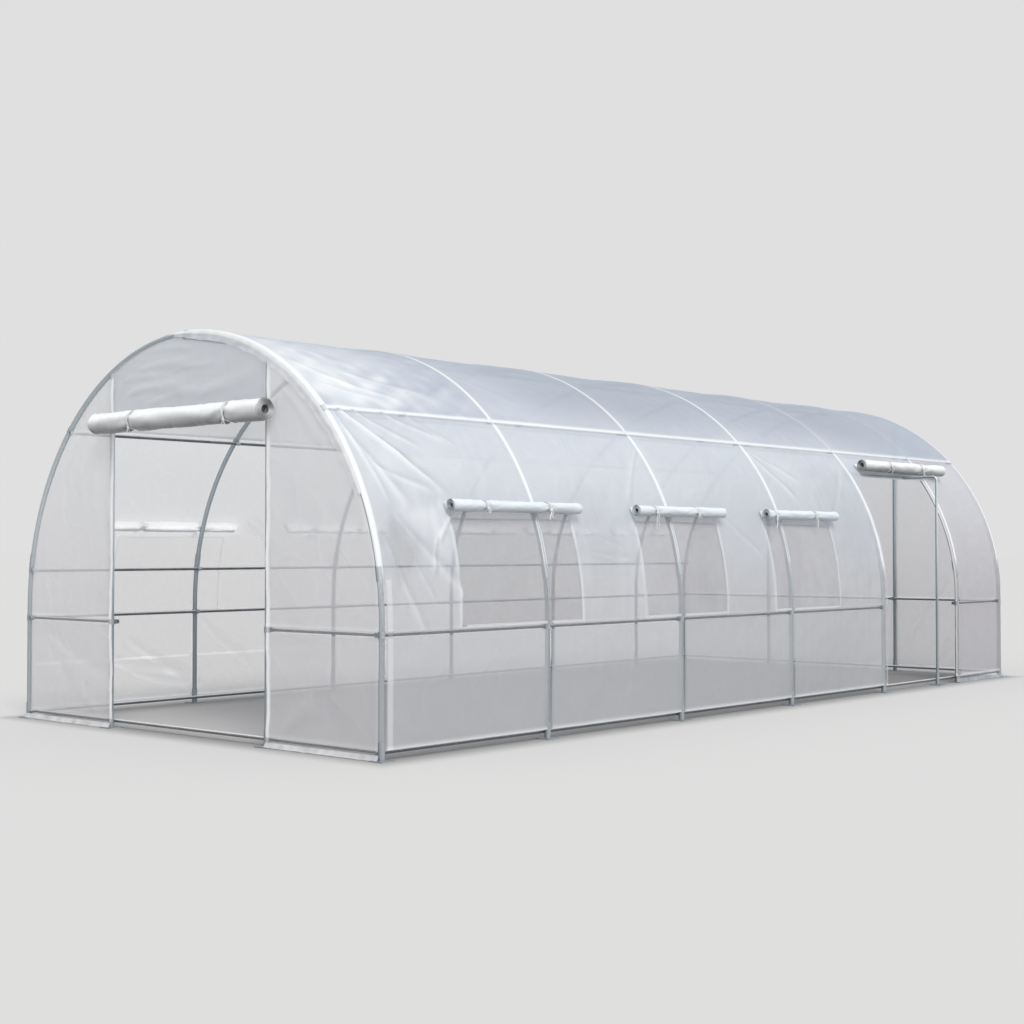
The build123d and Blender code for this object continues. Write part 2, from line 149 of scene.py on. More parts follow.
# The floor's colour carries painted shadow: a little darker where the film keeps the daylight
# off it, more so at the far end, and a painted contact shadow along the foot of the walls.
floor_mesh = bpy.data.meshes.new("floor")
corners = [(x * FLOOR_HALF, y * FLOOR_HALF, 0) for x, y in ((-1, -1), (1, -1), (1, 1), (-1, 1))]
floor_mesh.from_pydata(corners, [], [(0, 1, 2, 3)])
floor = bpy.data.objects.new("floor", floor_mesh)
scene.collection.objects.link(floor)
floor_paint, tree, out = new_material("floor")
place = parts_of(tree, add_node(tree, "TexCoord").outputs["Object"])
past_side = math_node(tree, "SUBTRACT", math_node(tree, "ABSOLUTE", place[0]), WALL_X)
past_end = math_node(tree, "ABSOLUTE", math_node(tree, "SUBTRACT", place[1], MIDDLE_Y))
past_end = math_node(tree, "SUBTRACT", past_end, WALL_Y)
beyond = math_node(tree, "MAXIMUM", past_side, past_end)
outside_shade = range_node(tree, beyond, -0.02, 0.22, 0.55, 1.0, interpolation_type="SMOOTHSTEP")
inside_shade = range_node(tree, place[1], -3.2, 2.5, 0.76, 0.42)
under_film = range_node(tree, beyond, -0.26, -0.07, 1.0, 0.0)
shade = output(tree, "Mix", {0: under_film, 2: outside_shade, 3: inside_shade})
matt = {"Base Color": darkened(tree, FLOOR_COLOUR, shade), "Roughness": 1.0, "Specular IOR Level": 0.0}
tree.links.new(output(tree, "BsdfPrincipled", matt), out)
floor_mesh.materials.append(floor_paint)

scene.view_settings.view_transform = "Standard"
scene.cycles.transparent_max_bounces = 48
scene.cycles.max_bounces = 10

# Tube frame: seven bent hoops, ground rails, side rails, purlins and posts of galvanised steel
# tube, cut to length and joined by clamps, so the zinc shows a fine spangle and dull stains.
HOOPS = ["front_hoop", "hoop_2", "hoop_3", "hoop_4", "hoop_5", "side_door_hoop", "end_hoop"]
POSTS = [
    "front_door_post_left", "front_door_post_right", "back_post_left", "back_post_right",
    "side_door_post",
]
RAILS = [
    "ground_rail_front", "ground_rail_back", "ground_rail_left", "ground_rail_right",
    "side_rail_left", "side_rail_right", "side_rail_right_end", "mid_rail_left",
    "purlin_left", "purlin_right", "ridge_purlin",
    "front_rail_left", "front_rail_right", "back_rail", "side_door_header",
]


def noise(tree, place, scale, detail):
    """Soft random clouds, finer with a larger scale."""
    return output(tree, "TexNoise", {"Vector": place, "Scale": scale, "Detail": detail})


def bumped(tree, height, strength, distance):
    """The way a surface faces, turned by a fine relief."""
    return output(tree, "Bump", {"Height": height, "Strength": strength, "Distance": distance})


def coated(tree, colour, rough, normal, metallic=0.0):
    """A closed surface with its colour, gloss and relief."""
    values = {"Base Color": colour, "Roughness": rough, "Metallic": metallic, "Normal": normal}
    return output(tree, "BsdfPrincipled", values)


def zinc(name, dull_and_shaded, bright, metallic, rough, lit_side, edge, foot=1.0):
    """Galvanised steel: crystals of zinc a few millimetres wide in two greys, cloudy stains and
    fine scratches that also change the gloss. A painted highlight makes it lighter on the side
    that faces the given direction, rising from the first to the second value of edge, and painted
    shade makes it darker on the other. Towards the ground it is painted darker as shade, and foot
    is how much of the brightness is left there."""
    made, tree, out = new_material(name)
    place = add_node(tree, "TexCoord").outputs["Object"]
    crystal = add_node(tree, "TexVoronoi", {"Vector": place, "Scale": 210.0}).outputs["Color"]
    crystal = output(tree, "SeparateColor", {0: crystal})
    stain = noise(tree, place, 7.0, 6.0)
    grain = noise(tree, place, 420.0, 3.0)
    # Painted highlight on the side that faces the given direction, painted shade on the other.
    facing = add_node(tree, "NewGeometry").outputs["Normal"]
    facing = add_node(tree, "VectorMath", {0: facing, 1: lit_side}, operation="DOT_PRODUCT")
    painted_light_share = range_node(tree, facing.outputs["Value"], *edge, -0.12, 0.80)
    share = math_node(tree, "MULTIPLY_ADD", crystal, 0.16, math_node(tree, "MULTIPLY", stain, 0.24))
    # Painted shade towards the ground.
    by_height = range_node(tree, parts_of(tree, place)[2], 0.55, 1.25, foot, 1.0)
    share = math_node(tree, "MULTIPLY", math_node(tree, "ADD", share, painted_light_share), by_height)
    colour = mix_colours(tree, share, (*dull_and_shaded, 1.0), (*bright, 1.0))
    gloss = math_node(tree, "MULTIPLY_ADD", stain, 0.26, rough - 0.13)
    gloss = math_node(tree, "MULTIPLY_ADD", crystal, 0.08, gloss)
    relief = math_node(tree, "MULTIPLY_ADD", crystal, 0.5, grain)
    bump = bumped(tree, relief, 0.25, 0.0006)
    tree.links.new(coated(tree, colour, gloss, bump, metallic), out)
    return made


def put_on(nodes, material):
    """Gives CAD nodes a material in place of their plain one."""
    for name in nodes:
        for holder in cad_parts[name].material_slots:
            holder.material = material


# The directions of the painted light on the tubes: the sun on the right for uprights and fittings, the sky
# above for rails. Uprights, the front hoop and rails each get their own copy of the zinc, its colours set
# for how they are lit: painted light and shade on one steel.
FROM_RIGHT = (0.95, -0.08, 0.30)
FROM_ABOVE = (0.0, 0.0, 1.0)
upright_zinc = zinc(
    "upright_zinc", (0.135, 0.170, 0.185), (0.68, 0.76, 0.80), 0.35, 0.34, FROM_RIGHT, (-0.32, 0.80), 0.36
)
# The front hoop's copy has a paler shaded side: painted light.
front_zinc = zinc(
    "front_hoop_zinc", (0.28, 0.31, 0.325), (0.66, 0.73, 0.77), 0.35, 0.34, FROM_RIGHT, (-0.20, 0.95), 0.30
)
rail_zinc = zinc(
    "rail_zinc", (0.13, 0.142, 0.152), (0.84, 0.86, 0.88), 0.35, 0.36, FROM_ABOVE, (0.30, 0.70)
)
put_on([*HOOPS[1:], *POSTS], upright_zinc)
put_on(HOOPS[:1], front_zinc)
put_on(RAILS, rail_zinc)

# Fittings: pressed and welded steel sleeves, cross clamps and square feet with sockets, dipped
# in zinc after welding, so they are duller and rougher than the tubes.
FITTINGS = [
    "feet_left", "feet_right", "front_door_feet", "back_post_feet", "side_door_foot",
    "hoop_splices", "purlin_clamps", "side_rail_clamps", "end_rail_clamps",
]
fitting_zinc = zinc(
    "fitting_zinc", (0.15, 0.18, 0.20), (0.66, 0.71, 0.75), 0.4, 0.46, FROM_RIGHT, (-0.3, 0.95), 0.55
)
put_on(FITTINGS, fitting_zinc)

# Cover: one wide sheet of woven-reinforced polythene pulled over the hoops and down both
# sides to the ground rails. It is hazy where it hangs free and milky where it is creased or
# touches a tube; the white lines along its creases, the hoops high up and the purlins are
# partly painted highlight, and its fold troughs and a line under each purlin carry painted
# shade. The side windows and the side door are cut out of it.
TUBE_R = 0.014
PURLIN_TURN = 43.5  # degrees round the half circle, from level, to the side purlins


def middle_of(node, axis):
    """The middle of a node's box along one axis."""
    low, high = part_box(node)
    return (low[axis] + high[axis]) / 2


hoop_y = np.array([middle_of(name, 1) for name in HOOPS])
FRONT = hoop_y[0]
HALF_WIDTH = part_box("front_hoop")[1][0] - TUBE_R
LEG_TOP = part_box("front_hoop")[1][2] - TUBE_R - HALF_WIDTH
OVER_TUBE = 0.0168  # from a hoop's middle line to the film on it
COVER_R = HALF_WIDTH + OVER_TUBE
QUARTER = COVER_R * math.pi / 2  # along the section from the ridge to the top of a leg
FILM_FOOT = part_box("right_film_lower")[0][2]
DRAWN_IN = 0.010  # how far the film is pulled in between two hoops
PURLIN_S = COVER_R * math.radians(90.0 - PURLIN_TURN)
CURL = 0.023  # how far the film curls round the first and the last hoop
at = hoop_y - FRONT
LENGTH = at[-1]
HOOP_MARKS = [m + step for m in at for step in (-0.018, -0.008, 0.0, 0.008, 0.018)]
FRONT_CURL = [-CURL, -0.012]
BACK_CURL = [LENGTH + 0.012, LENGTH + CURL]
SHOWS_TUBE = 0.85  # below this height the film lies so close that it shows the tubes clearly


def spaced(marks, step):
    """Numbers from the first mark to the last, never further apart than the step, with every
    mark among them."""
    marks = sorted(set(round(float(m), 5) for m in marks))
    runs = [np.linspace(a, b, math.ceil((b - a) / step) + 1)[:-1] for a, b in zip(marks, marks[1:])]
    return np.append(np.concatenate(runs), marks[-1])


def hoops_between(low, high):
    """The marks at and beside the hoops that lie between two places along the tunnel."""
    return [m for m in HOOP_MARKS if low < m < high]


def smooth(value, low, high):
    """0 below low, 1 above high, and an S-curve between."""
    t = np.clip((value - low) / (high - low), 0.0, 1.0)
    return t * t * (3 - 2 * t)


def bell(value, width):
    """1 at zero, falling off as a bell of that width."""
    return np.exp(-((value / width) ** 2))


def band(value, half, soft):
    """1 within half of zero, and 0 past half plus soft."""
    return 1 - smooth(np.abs(value), half, half + soft)


def ripples(u, v, size, seed):
    """Soft random waves between about -1 and 1: the sum of ten sine waves in random directions,
    each about as long as size."""
    rng = np.random.default_rng(seed)
    total = np.zeros(np.broadcast(u, v).shape)
    waves = zip(rng.uniform(0, math.pi, 10), rng.uniform(0.6, 1.6, 10), rng.uniform(0, 7, 10))
    for turn, length, phase in waves:
        total += np.sin(2 * math.pi * (u * math.cos(turn) + v * math.sin(turn)) / (length * size) + phase)
    return total / 4.5


def crumples(u, v, size, seed):
    """Thin creases between 0 and 1, where soft random waves pass through zero."""
    bent = 0.35 * size * ripples(u, v, size * 1.7, seed + 50)
    return np.exp(-((ripples(u + bent, v - bent, size, seed) / 0.13) ** 2))


def folds(u, v, lines):
    """Straight folds. A line is (u0, v0, u1, v1, width, height): the height falls off across it
    as a bell of that width beside a shallow trough, and fades at both ends. The second result
    is how sharply each place is creased, and the third how deep it lies in a trough."""
    height, crease, trough = np.zeros(u.shape), np.zeros(u.shape), np.zeros(u.shape)
    for u0, v0, u1, v1, width, rise in lines:
        length = math.hypot(u1 - u0, v1 - v0)
        du, dv = (u1 - u0) / length, (v1 - v0) / length
        along = ((u - u0) * du + (v - v0) * dv) / length
        across = (u - u0) * dv - (v - v0) * du + 0.02 * length * np.sin(5 * along)
        ends = smooth(along, -0.04, 0.12) * (1 - smooth(along, 0.75, 1.05))
        wide = width * (0.6 + 0.8 * np.clip(along, 0, 1))
        ridge = ends * bell(across, wide)
        hollow = ends * bell(across - 1.7 * wide, 0.9 * wide)
        height += rise * (ridge - 0.55 * hollow)
        crease += abs(rise) / 0.010 * ridge
        trough += abs(rise) / 0.010 * hollow
    return height, crease, trough


def grid(points, uv=None, looks=None, keep=None, facing=None):
    """A patch of a piece: points[i, j] is the place at step i of one measure and j of the other.
    looks holds how milky each place is, its painted shade and its painted light from behind, and
    facing is a direction that its faces look along on the whole."""
    return {"points": points, "uv": uv, "looks": looks, "keep": keep, "facing": facing}


def make_piece(name, material, patches):
    """A mesh of four-cornered faces, one for each kept cell of each patch. Points that no face
    uses are left out. The flat measures go into a UV map, in metres, and the milkiness,
    painted shade and painted light into an attribute."""
    points, corners, uv, looks, first = [], [], [], [], 0
    for patch in patches:
        place = patch["points"]
        rows, columns = place.shape[:2]
        index = np.arange(rows * columns).reshape(rows, columns)
        cells = np.stack([index[:-1, :-1], index[1:, :-1], index[1:, 1:], index[:-1, 1:]], axis=-1)
        cells = cells.reshape(-1, 4) if patch["keep"] is None else cells[patch["keep"]]
        flat = place.reshape(-1, 3)
        if patch["facing"] is not None:
            a, b, c, d = (flat[cells[:, k]] for k in range(4))
            if (np.cross(c - a, d - b) @ np.asarray(patch["facing"], float)).sum() < 0:
                cells = cells[:, ::-1]
        points.append(flat)
        corners.append(cells + first)
        uv.append(np.zeros((len(flat), 2)) if patch["uv"] is None else patch["uv"].reshape(-1, 2))
        looks.append(np.zeros((len(flat), 3)) if patch["looks"] is None else patch["looks"].reshape(-1, 3))
        first += len(flat)
    points, corners, uv, looks = (np.concatenate(x) for x in (points, corners, uv, looks))
    used, corners = np.unique(corners, return_inverse=True)
    corners = corners.reshape(-1, 4)
    mesh = bpy.data.meshes.new(name)
    mesh.vertices.add(len(used))
    mesh.vertices.foreach_set("co", points[used].ravel())
    mesh.loops.add(corners.size)
    mesh.loops.foreach_set("vertex_index", corners.ravel().astype(np.int32))
    mesh.polygons.add(len(corners))
    mesh.polygons.foreach_set("loop_start", np.arange(0, corners.size, 4, dtype=np.int32))
    mesh.polygons.foreach_set("use_smooth", np.ones(len(corners), bool))
    mesh.uv_layers.new(name="flat").data.foreach_set("uv", uv[used][corners.ravel()].ravel())
    mesh.attributes.new("looks", "FLOAT_VECTOR", "POINT").data.foreach_set("vector", looks[used].ravel())
    mesh.update(calc_edges=True)
    mesh.validate()
    mesh.materials.append(material)
    piece = bpy.data.objects.new(name, mesh)
    scene.collection.objects.link(piece)
    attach(piece, "root")
    return piece


def as_looks(milk, shade):
    """Milkiness, below zero where the film is clearer than usual, painted shade, and 0 for
    the painted light from behind, as one array."""
    return np.stack([np.clip(milk, -1, 1), np.clip(shade, 0, 1), 0 * milk], axis=-1)


def cover(along, s, lines=(), seed=1, strips=(), patches=(), rails=(), left=0.0, calm=1.0, inset=0.0):
    """The cover's surface. along is measured back from the front hoop and s round the section
    from the ridge, positive to the right: a half round over straight legs. Between two hoops
    the film is drawn in by a parabola, with random waves and creases, and with the given folds
    laid on it; past the first and the last hoop it curls round the tube. It is milky along fold
    ridges, along the hoops high up, round the end hoops and along the side purlins, partly as
    painted highlight; fold troughs and a line just under each purlin carry painted shade, and
    lower down the film is clearer over the hoops. strips are doubled hems (u0, u1, s0, s1),
    patches are milky places, partly painted highlight, and places of painted shade (u, s, half u,
    half s, milk, shade), rails the heights of rails that show through, each with a painted
    highlight just above it, and left is 1 on the left side."""
    u, v = np.meshgrid(along, s, indexing="ij")
    bay = np.clip(np.searchsorted(at, u, side="right") - 1, 0, len(at) - 2)
    t = np.clip((u - at[bay]) / (at[bay + 1] - at[bay]), 0, 1)
    free = 4 * t * (1 - t)
    below = LEG_TOP - np.abs(v) + QUARTER
    height = np.where(np.abs(v) < QUARTER, LEG_TOP + COVER_R * np.cos(v / COVER_R), below)
    tight = smooth(height, 0.3, 1.1)
    push = -DRAWN_IN * free * (0.25 + 0.75 * tight)
    push += 0.0035 * free**0.5 * ripples(u, v, 0.55, seed)
    push += 0.0014 * free**0.5 * ripples(u, v, 0.16, seed + 1)
    push += 0.0016 * calm * free**0.5 * crumples(u, v, 0.30, seed + 2)
    raised, crease, trough = folds(u, v, lines)
    by_purlin = np.abs(v) - PURLIN_S
    push = push * (1 - bell(by_purlin, 0.045) - bell(v, 0.060)) + raised * smooth(free, 0.0, 0.10)
    milk = 0.045 * crumples(u, v, 0.30, seed + 2) + 0.012 * crumples(u, v, 0.13, seed + 3)
    milk = calm * (0.3 + 0.7 * tight) * milk
    # Fold ridges are whiter, partly painted highlight, and their troughs carry painted shade.
    milk += 0.42 * crease - 0.12 * trough
    shade = 0.20 * trough

    left = np.maximum(left, smooth(-v, 0.05, 0.25) * (np.abs(s).min() < 0.1))
    high = smooth(height, SHOWS_TUBE - 0.12, SHOWS_TUBE + 0.10)
    first = band(u, 0.030, 0.01)  # at the front hoop, where the left half shows the tube
    near_hoop = np.abs(u[..., None] - at).min(axis=-1)
    # Painted highlight: a white line along each hoop above SHOWS_TUBE and a whiter curl round the end hoops,
    # partly milky film where it touches the tube; elsewhere the film is clearer over the hoops.
    white = high * (1 - np.maximum(first, 0.75) * left)
    milk += white * (1.0 * band(near_hoop, 0.006, 0.010) + 0.10 * np.exp(-near_hoop / 0.09))
    milk += white * 0.5 * smooth(np.abs(u - LENGTH / 2), LENGTH / 2, LENGTH / 2 + 0.012)
    milk -= 1.0 * (1 - white) * band(near_hoop, 0.013, 0.008)
    by_leg = np.abs(v) > QUARTER
    milk += 0.75 * bell(height - FILM_FOOT, 0.012) * by_leg
    # Clearer over each rail, with a painted highlight just above it.
    for rail in rails:
        milk -= 0.9 * band(height - rail, 0.010, 0.006) * by_leg
        milk += 0.15 * bell(height - rail - 0.019, 0.006) * by_leg
    # A painted highlight along each side purlin, and below it clearer film with a painted shadow line.
    milk += (0.86 - 0.03 * u) * band(by_purlin + 0.003, 0.005, 0.009)
    milk -= 0.6 * band(by_purlin - 0.017, 0.004, 0.004)
    shade += 0.40 * band(by_purlin - 0.017, 0.003, 0.004)
    for u0, u1, s0, s1 in strips:
        hem = band(u - (u0 + u1) / 2, (u1 - u0) / 2 - 0.004, 0.006)
        hem = hem * band(v - (s0 + s1) / 2, (s1 - s0) / 2, 0.01)
        milk += 0.36 * hem
        push += 0.0015 * hem
    # Milky places, partly painted highlight, and places of painted shade.
    for place_u, place_s, half_u, half_s, white_more, dark_more in patches:
        spot = np.hypot((u - place_u) / half_u, (v - place_s) / half_s)
        spot = bell(spot * (1 + 0.25 * ripples(u, v, 0.12, seed + 8)), 1.0)
        milk += white_more * spot
        shade += dark_more * spot

    beta = (np.maximum(-u, 0) + np.maximum(u - at[-1], 0)) / OVER_TUBE
    radius = HALF_WIDTH + push + OVER_TUBE * np.cos(beta) - inset
    y = FRONT + np.clip(u, 0, at[-1]) + np.sign(u - 1) * OVER_TUBE * np.sin(beta)
    angle = np.clip(v / COVER_R, -math.pi / 2, math.pi / 2)
    x = radius * np.sin(angle)
    z = LEG_TOP + radius * np.cos(angle) - np.maximum(np.abs(v) - QUARTER, 0)
    return np.stack([x, y, z], axis=-1), np.stack([u, v], axis=-1), as_looks(milk, shade)


def looks_of(tree):
    """How milky each place of a sheet is, and how much painted shade and painted light from behind it has.
    """
    return parts_of(tree, add_node(tree, "Attribute", attribute_name="looks").outputs["Vector"])


def threads(tree, flat, scale):
    """Fine lines both ways across a sheet, from its flat measures."""
    waves = [
        add_node(tree, "TexWave", {"Vector": flat, "Scale": scale}, bands_direction=way).outputs["Fac"]
        for way in ("X", "Y")
    ]
    return math_node(tree, "MAXIMUM", *waves)


def film(
    name, clear, milky, low, high, bare=0.16, glow=0.45, rough=0.5, hazier=0.0, fold_glow=0.0, inside=None
):
    """Polythene film: see-through by 1 - clear where it is plain, by 1 - bare where it is pressed
    to a tube and by 1 - milky where it is milky, with the light from behind glowing through
    it. Clouds and fine crinkles change its haze, colour and gloss, its reinforcing threads
    make a fine check, and its colour changes from low at the foot to high at the ridge, partly
    a bluer tint and partly painted light and shade for how the daylight falls at each height.
    Milky places are whiter, and shade from the looks darkens it as painted shade. hazier is how
    much less see-through it is higher up, where the daylight strikes it more squarely, and
    fold_glow is a painted glow, an emission that lights up its creases as if the day behind
    shone through them. inside is a painted light: the paler colour of the left slope's inner
    face, standing in for the daylight that shines through."""
    made, tree, out = new_material(name)
    coords = add_node(tree, "TexCoord").outputs
    milk, shade, lit = looks_of(tree)
    cloud = noise(tree, coords["Object"], 1.6, 5.0)
    fine = noise(tree, coords["Object"], 26.0, 3.0)
    height = parts_of(tree, coords["Object"])[2]
    check = range_node(tree, threads(tree, coords["UV"], 34.0), 0.80, 1.0)
    haze = range_node(tree, milk, 0.0, 1.0, clear, milky)
    haze = math_node(tree, "ADD", haze, range_node(tree, milk, -1.0, 0.0, bare - clear, 0.0))
    for part, share in ((cloud, 0.20 * rough), (fine, 0.03 * rough)):
        haze = math_node(tree, "MULTIPLY_ADD", math_node(tree, "SUBTRACT", part, 0.5), share, haze)
    haze = math_node(tree, "MULTIPLY_ADD", check, 0.012, haze)
    haze = math_node(tree, "ADD", haze, range_node(tree, height, 0.75, 1.25, 0.0, hazier))
    # Colour from foot to ridge: partly a bluer tint, partly painted light and shade.
    colour = mix_colours(tree, range_node(tree, height, 0.55, 1.65), (*low, 1.0), (*high, 1.0))
    colour = mix_colours(tree, milk, colour, (0.985, 0.992, 1.0, 1.0))
    # Painted light: the inner face of the left slope is paler.
    if inside:
        lit = math_node(tree, "MULTIPLY", lit, add_node(tree, "NewGeometry").outputs["Backfacing"])
        colour = mix_colours(tree, lit, colour, (*inside, 1.0))
    colour = darkened(tree, colour, range_node(tree, fine, 0.2, 0.8, 1.0 - 0.03 * rough, 1.0))
    # Painted shade from the looks.
    colour = darkened(tree, colour, range_node(tree, shade, 0.0, 1.0, 1.0, 0.35))
    gloss = math_node(tree, "MULTIPLY_ADD", fine, 0.08, 0.32)
    bump = bumped(tree, cloud, 0.35 * rough, 0.004)
    front = coated(tree, colour, gloss, bump)
    back = output(tree, "BsdfTranslucent", {"Color": colour, "Normal": bump})
    through = range_node(tree, milk, 0.0, 0.6, glow, glow * 0.3)
    body = output(tree, "MixShader", {0: through, 1: front, 2: back})
    # Painted glow: the creases give off light.
    if fold_glow:
        bright = range_node(tree, milk, 0.0, 1.0, 0.0, fold_glow)
        body = output(tree, "AddShader", {0: body, 1: output(tree, "Emission", {"Strength": bright})})
    hole = output(tree, "BsdfTransparent")
    tree.links.new(output(tree, "MixShader", {0: haze, 1: hole, 2: body}), out)
    return made


def side_s(z):
    """How far round the section from the ridge a height is, on the right."""
    return COVER_R * math.acos((z - LEG_TOP) / COVER_R) if z > LEG_TOP else QUARTER + LEG_TOP - z


def on_side(lines):
    """Fold lines with the heights of their two ends turned into places round the section."""
    return [(u0, side_s(z0), u1, side_s(z1), width, rise) for u0, z0, u1, z1, width, rise in lines]


def spots(places):
    """Milky or shaded places with their heights turned into places round the section."""
    return [(u, side_s(z), *rest) for u, z, *rest in places]


def film_piece(name, material, patches, stands_for):
    """A piece of film that may stand for CAD nodes, which it hides."""
    piece = make_piece(name, material, patches)
    if stands_for:
        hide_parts(*stands_for)
    return piece


# Each part of the cover, the end walls, hem and skirts gets its own copy of the film, its colours set for
# the light that falls on that part: painted light and shade on one polythene.
roof_film = film(
    "roof_film", 0.92, 0.98, (0.78, 0.835, 0.93), (0.62, 0.685, 0.81), rough=0.3, inside=(0.98, 0.99, 1.0)
)
whole_length = [*FRONT_CURL, *HOOP_MARKS[2:-2], *BACK_CURL]
roof_along = spaced(whole_length, 0.0165)
beside_purlin = [PURLIN_S, PURLIN_S - 0.004, PURLIN_S - 0.012]
roof_s = spaced([*(-s for s in beside_purlin), 0, *beside_purlin], 0.0140)
roof_folds = on_side(
    (
        (0.05, 1.96, 0.32, 1.82, 0.020, 0.006),
        (0.12, 1.90, 0.62, 1.75, 0.018, 0.006),
        (0.08, 1.84, 0.45, 1.745, 0.016, 0.005),
        (0.35, 1.92, 0.85, 1.80, 0.022, 0.004),
        (1.25, 1.98, 1.60, 1.80, 0.020, 0.002),
    )
)
# Painted highlight on the roof near the front of the ridge, and painted shade over the middle and far bays.
roof_spots = spots(
    (
        (0.12, 2.02, 0.24, 0.40, 0.46, 0.0),
        (0.25, 1.82, 0.34, 0.22, 0.44, 0.0),
        (0.75, 1.78, 0.50, 0.12, 0.22, 0.0),
        (0.62, 2.04, 0.36, 0.36, 0.34, 0.0),
        (1.45, 1.95, 0.30, 0.30, 0.12, 0.0),
        (2.60, 1.90, 0.90, 0.40, 0.0, 0.15),
        (5.20, 1.90, 0.90, 0.40, 0.0, 0.14),
    )
)
points, uv, looks = cover(roof_along, roof_s, roof_folds, seed=11, calm=0.2, patches=roof_spots)
along, s = uv[..., 0], uv[..., 1]
middle_bays = smooth(along, 1.0, 1.6) * (1 - smooth(along, 4.9, 6.3))
looks[..., 0] += 0.24 * bell(s - PURLIN_S, 0.22) * middle_bays  # milkier towards the right purlin
for hoop, paler in ((4, 0.70), (5, 0.92)):  # the last hoops before the end hardly mark the film
    looks[..., 0] -= paler * band(along - at[hoop], 0.006, 0.010)
# Painted light from behind, on the left slope's inner face only.
looks[..., 2] = smooth(-s, 0.0, 0.25)
film_piece(
    "cover_roof", roof_film, [grid(points, uv, looks, facing=(0, 0, 1))], ["roof_film"],
)

# Right side of the cover, from the purlin to the ground rail and from the front hoop to a hand
# past the hoop before the side door, with three windows cut through it. Their edges are
# hemmed, and folds fan out from the front end of the purlin to the first window.
HEAD_UNDER_ROLL = 0.07
HEM = 0.028  # how wide the doubled edge beside an opening is
RIGHT_NEAR, RIGHT_FAR = 0.030, 0.050  # from each end of a window's roll to its opening


def node_points(node):
    """The points of a CAD node's mesh."""
    return np.array([v.co[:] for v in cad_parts[node].data.vertices])


def tube_runs(node):
    """Where each of a node's separate tubes starts and ends along the tunnel, from the front
    hoop, by the rings of points at their two ends."""
    ends = np.unique(np.round(node_points(node)[:, 1], 4)) - FRONT
    return [(ends[k], ends[k + 1]) for k in range(0, len(ends), 2)]


def openings_of(node, near, far, sill):
    """Each window's opening under its roll: start and end along the tunnel, head and sill round
    the section."""
    head = side_s(middle_of(node, 2) - HEAD_UNDER_ROLL)
    return [(a + near, b - far, head, side_s(sill)) for a, b in tube_runs(node)]


def outside(along, s, openings):
    """Which cells of a grid lie outside every opening."""
    u, v = np.meshgrid((along[1:] + along[:-1]) / 2, (s[1:] + s[:-1]) / 2, indexing="ij")
    keep = np.ones(u.shape, bool)
    for near, far, head, sill in openings:
        keep &= ~((u > near) & (u < far) & (v > head) & (v < sill))
    return keep


def hems_of(openings):
    """The doubled edges along both jambs and the sill of each opening."""
    hems = []
    for near, far, head, sill in openings:
        hems += [(u, u + HEM, head - 0.02, sill + 0.01) for u in (near - HEM, far)]
        hems.append((near, far, sill, sill + 0.014))
    return hems


def opening_marks(openings):
    """The places along the tunnel where a grid needs a row for an opening or its hems."""
    return [m for near, far, _, _ in openings for m in (near - HEM, near, far, far + HEM)]


FOOT_S = side_s(FILM_FOOT)
RIGHT_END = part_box("right_film_upper")[1][1] - FRONT
right_openings = openings_of("right_window_rolls", RIGHT_NEAR, RIGHT_FAR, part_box("right_film_lower")[1][2])
RAIL_Z = middle_of("side_rail_right", 2)
# The right side's copy, its colours painted for the light on that side.
cover_film = film(
    "cover_film", 0.70, 0.98, (0.64, 0.65, 0.68), (0.775, 0.825, 0.91), glow=0.30, hazier=0.19
)
right_folds = on_side(
    (
        (0.05, 1.71, 0.57, 1.24, 0.017, 0.010),
        (0.05, 1.70, 0.40, 1.40, 0.015, 0.009),
        (0.13, 1.71, 0.52, 1.49, 0.013, 0.007),
        (0.32, 1.71, 0.73, 1.54, 0.014, 0.006),
        (0.52, 1.70, 0.80, 1.52, 0.011, 0.004),
        (0.03, 1.69, 0.13, 1.20, 0.013, 0.007),
        (0.03, 1.60, 0.26, 1.18, 0.022, 0.007),
        (0.10, 1.42, 0.50, 1.26, 0.018, 0.006),
        (0.15, 1.17, 0.60, 0.70, 0.024, 0.006),
        (0.05, 1.06, 0.29, 0.52, 0.018, 0.006),
        (0.59, 1.19, 0.40, 1.03, 0.012, 0.006),
        (0.42, 1.07, 0.34, 0.86, 0.012, 0.006),
        (0.20, 1.02, 0.36, 0.70, 0.012, 0.004),
        (1.58, 1.11, 1.92, 0.98, 0.016, 0.004),
        (1.62, 0.98, 1.98, 0.92, 0.014, 0.004),
        (2.40, 1.60, 2.03, 1.26, 0.014, 0.003),
        (3.00, 1.20, 3.34, 0.92, 0.016, 0.003),
        (3.64, 1.64, 3.95, 1.28, 0.020, 0.006),
        (3.66, 1.66, 4.12, 1.42, 0.016, 0.004),
        (4.30, 1.20, 4.78, 1.55, 0.016, 0.003),
    )
)
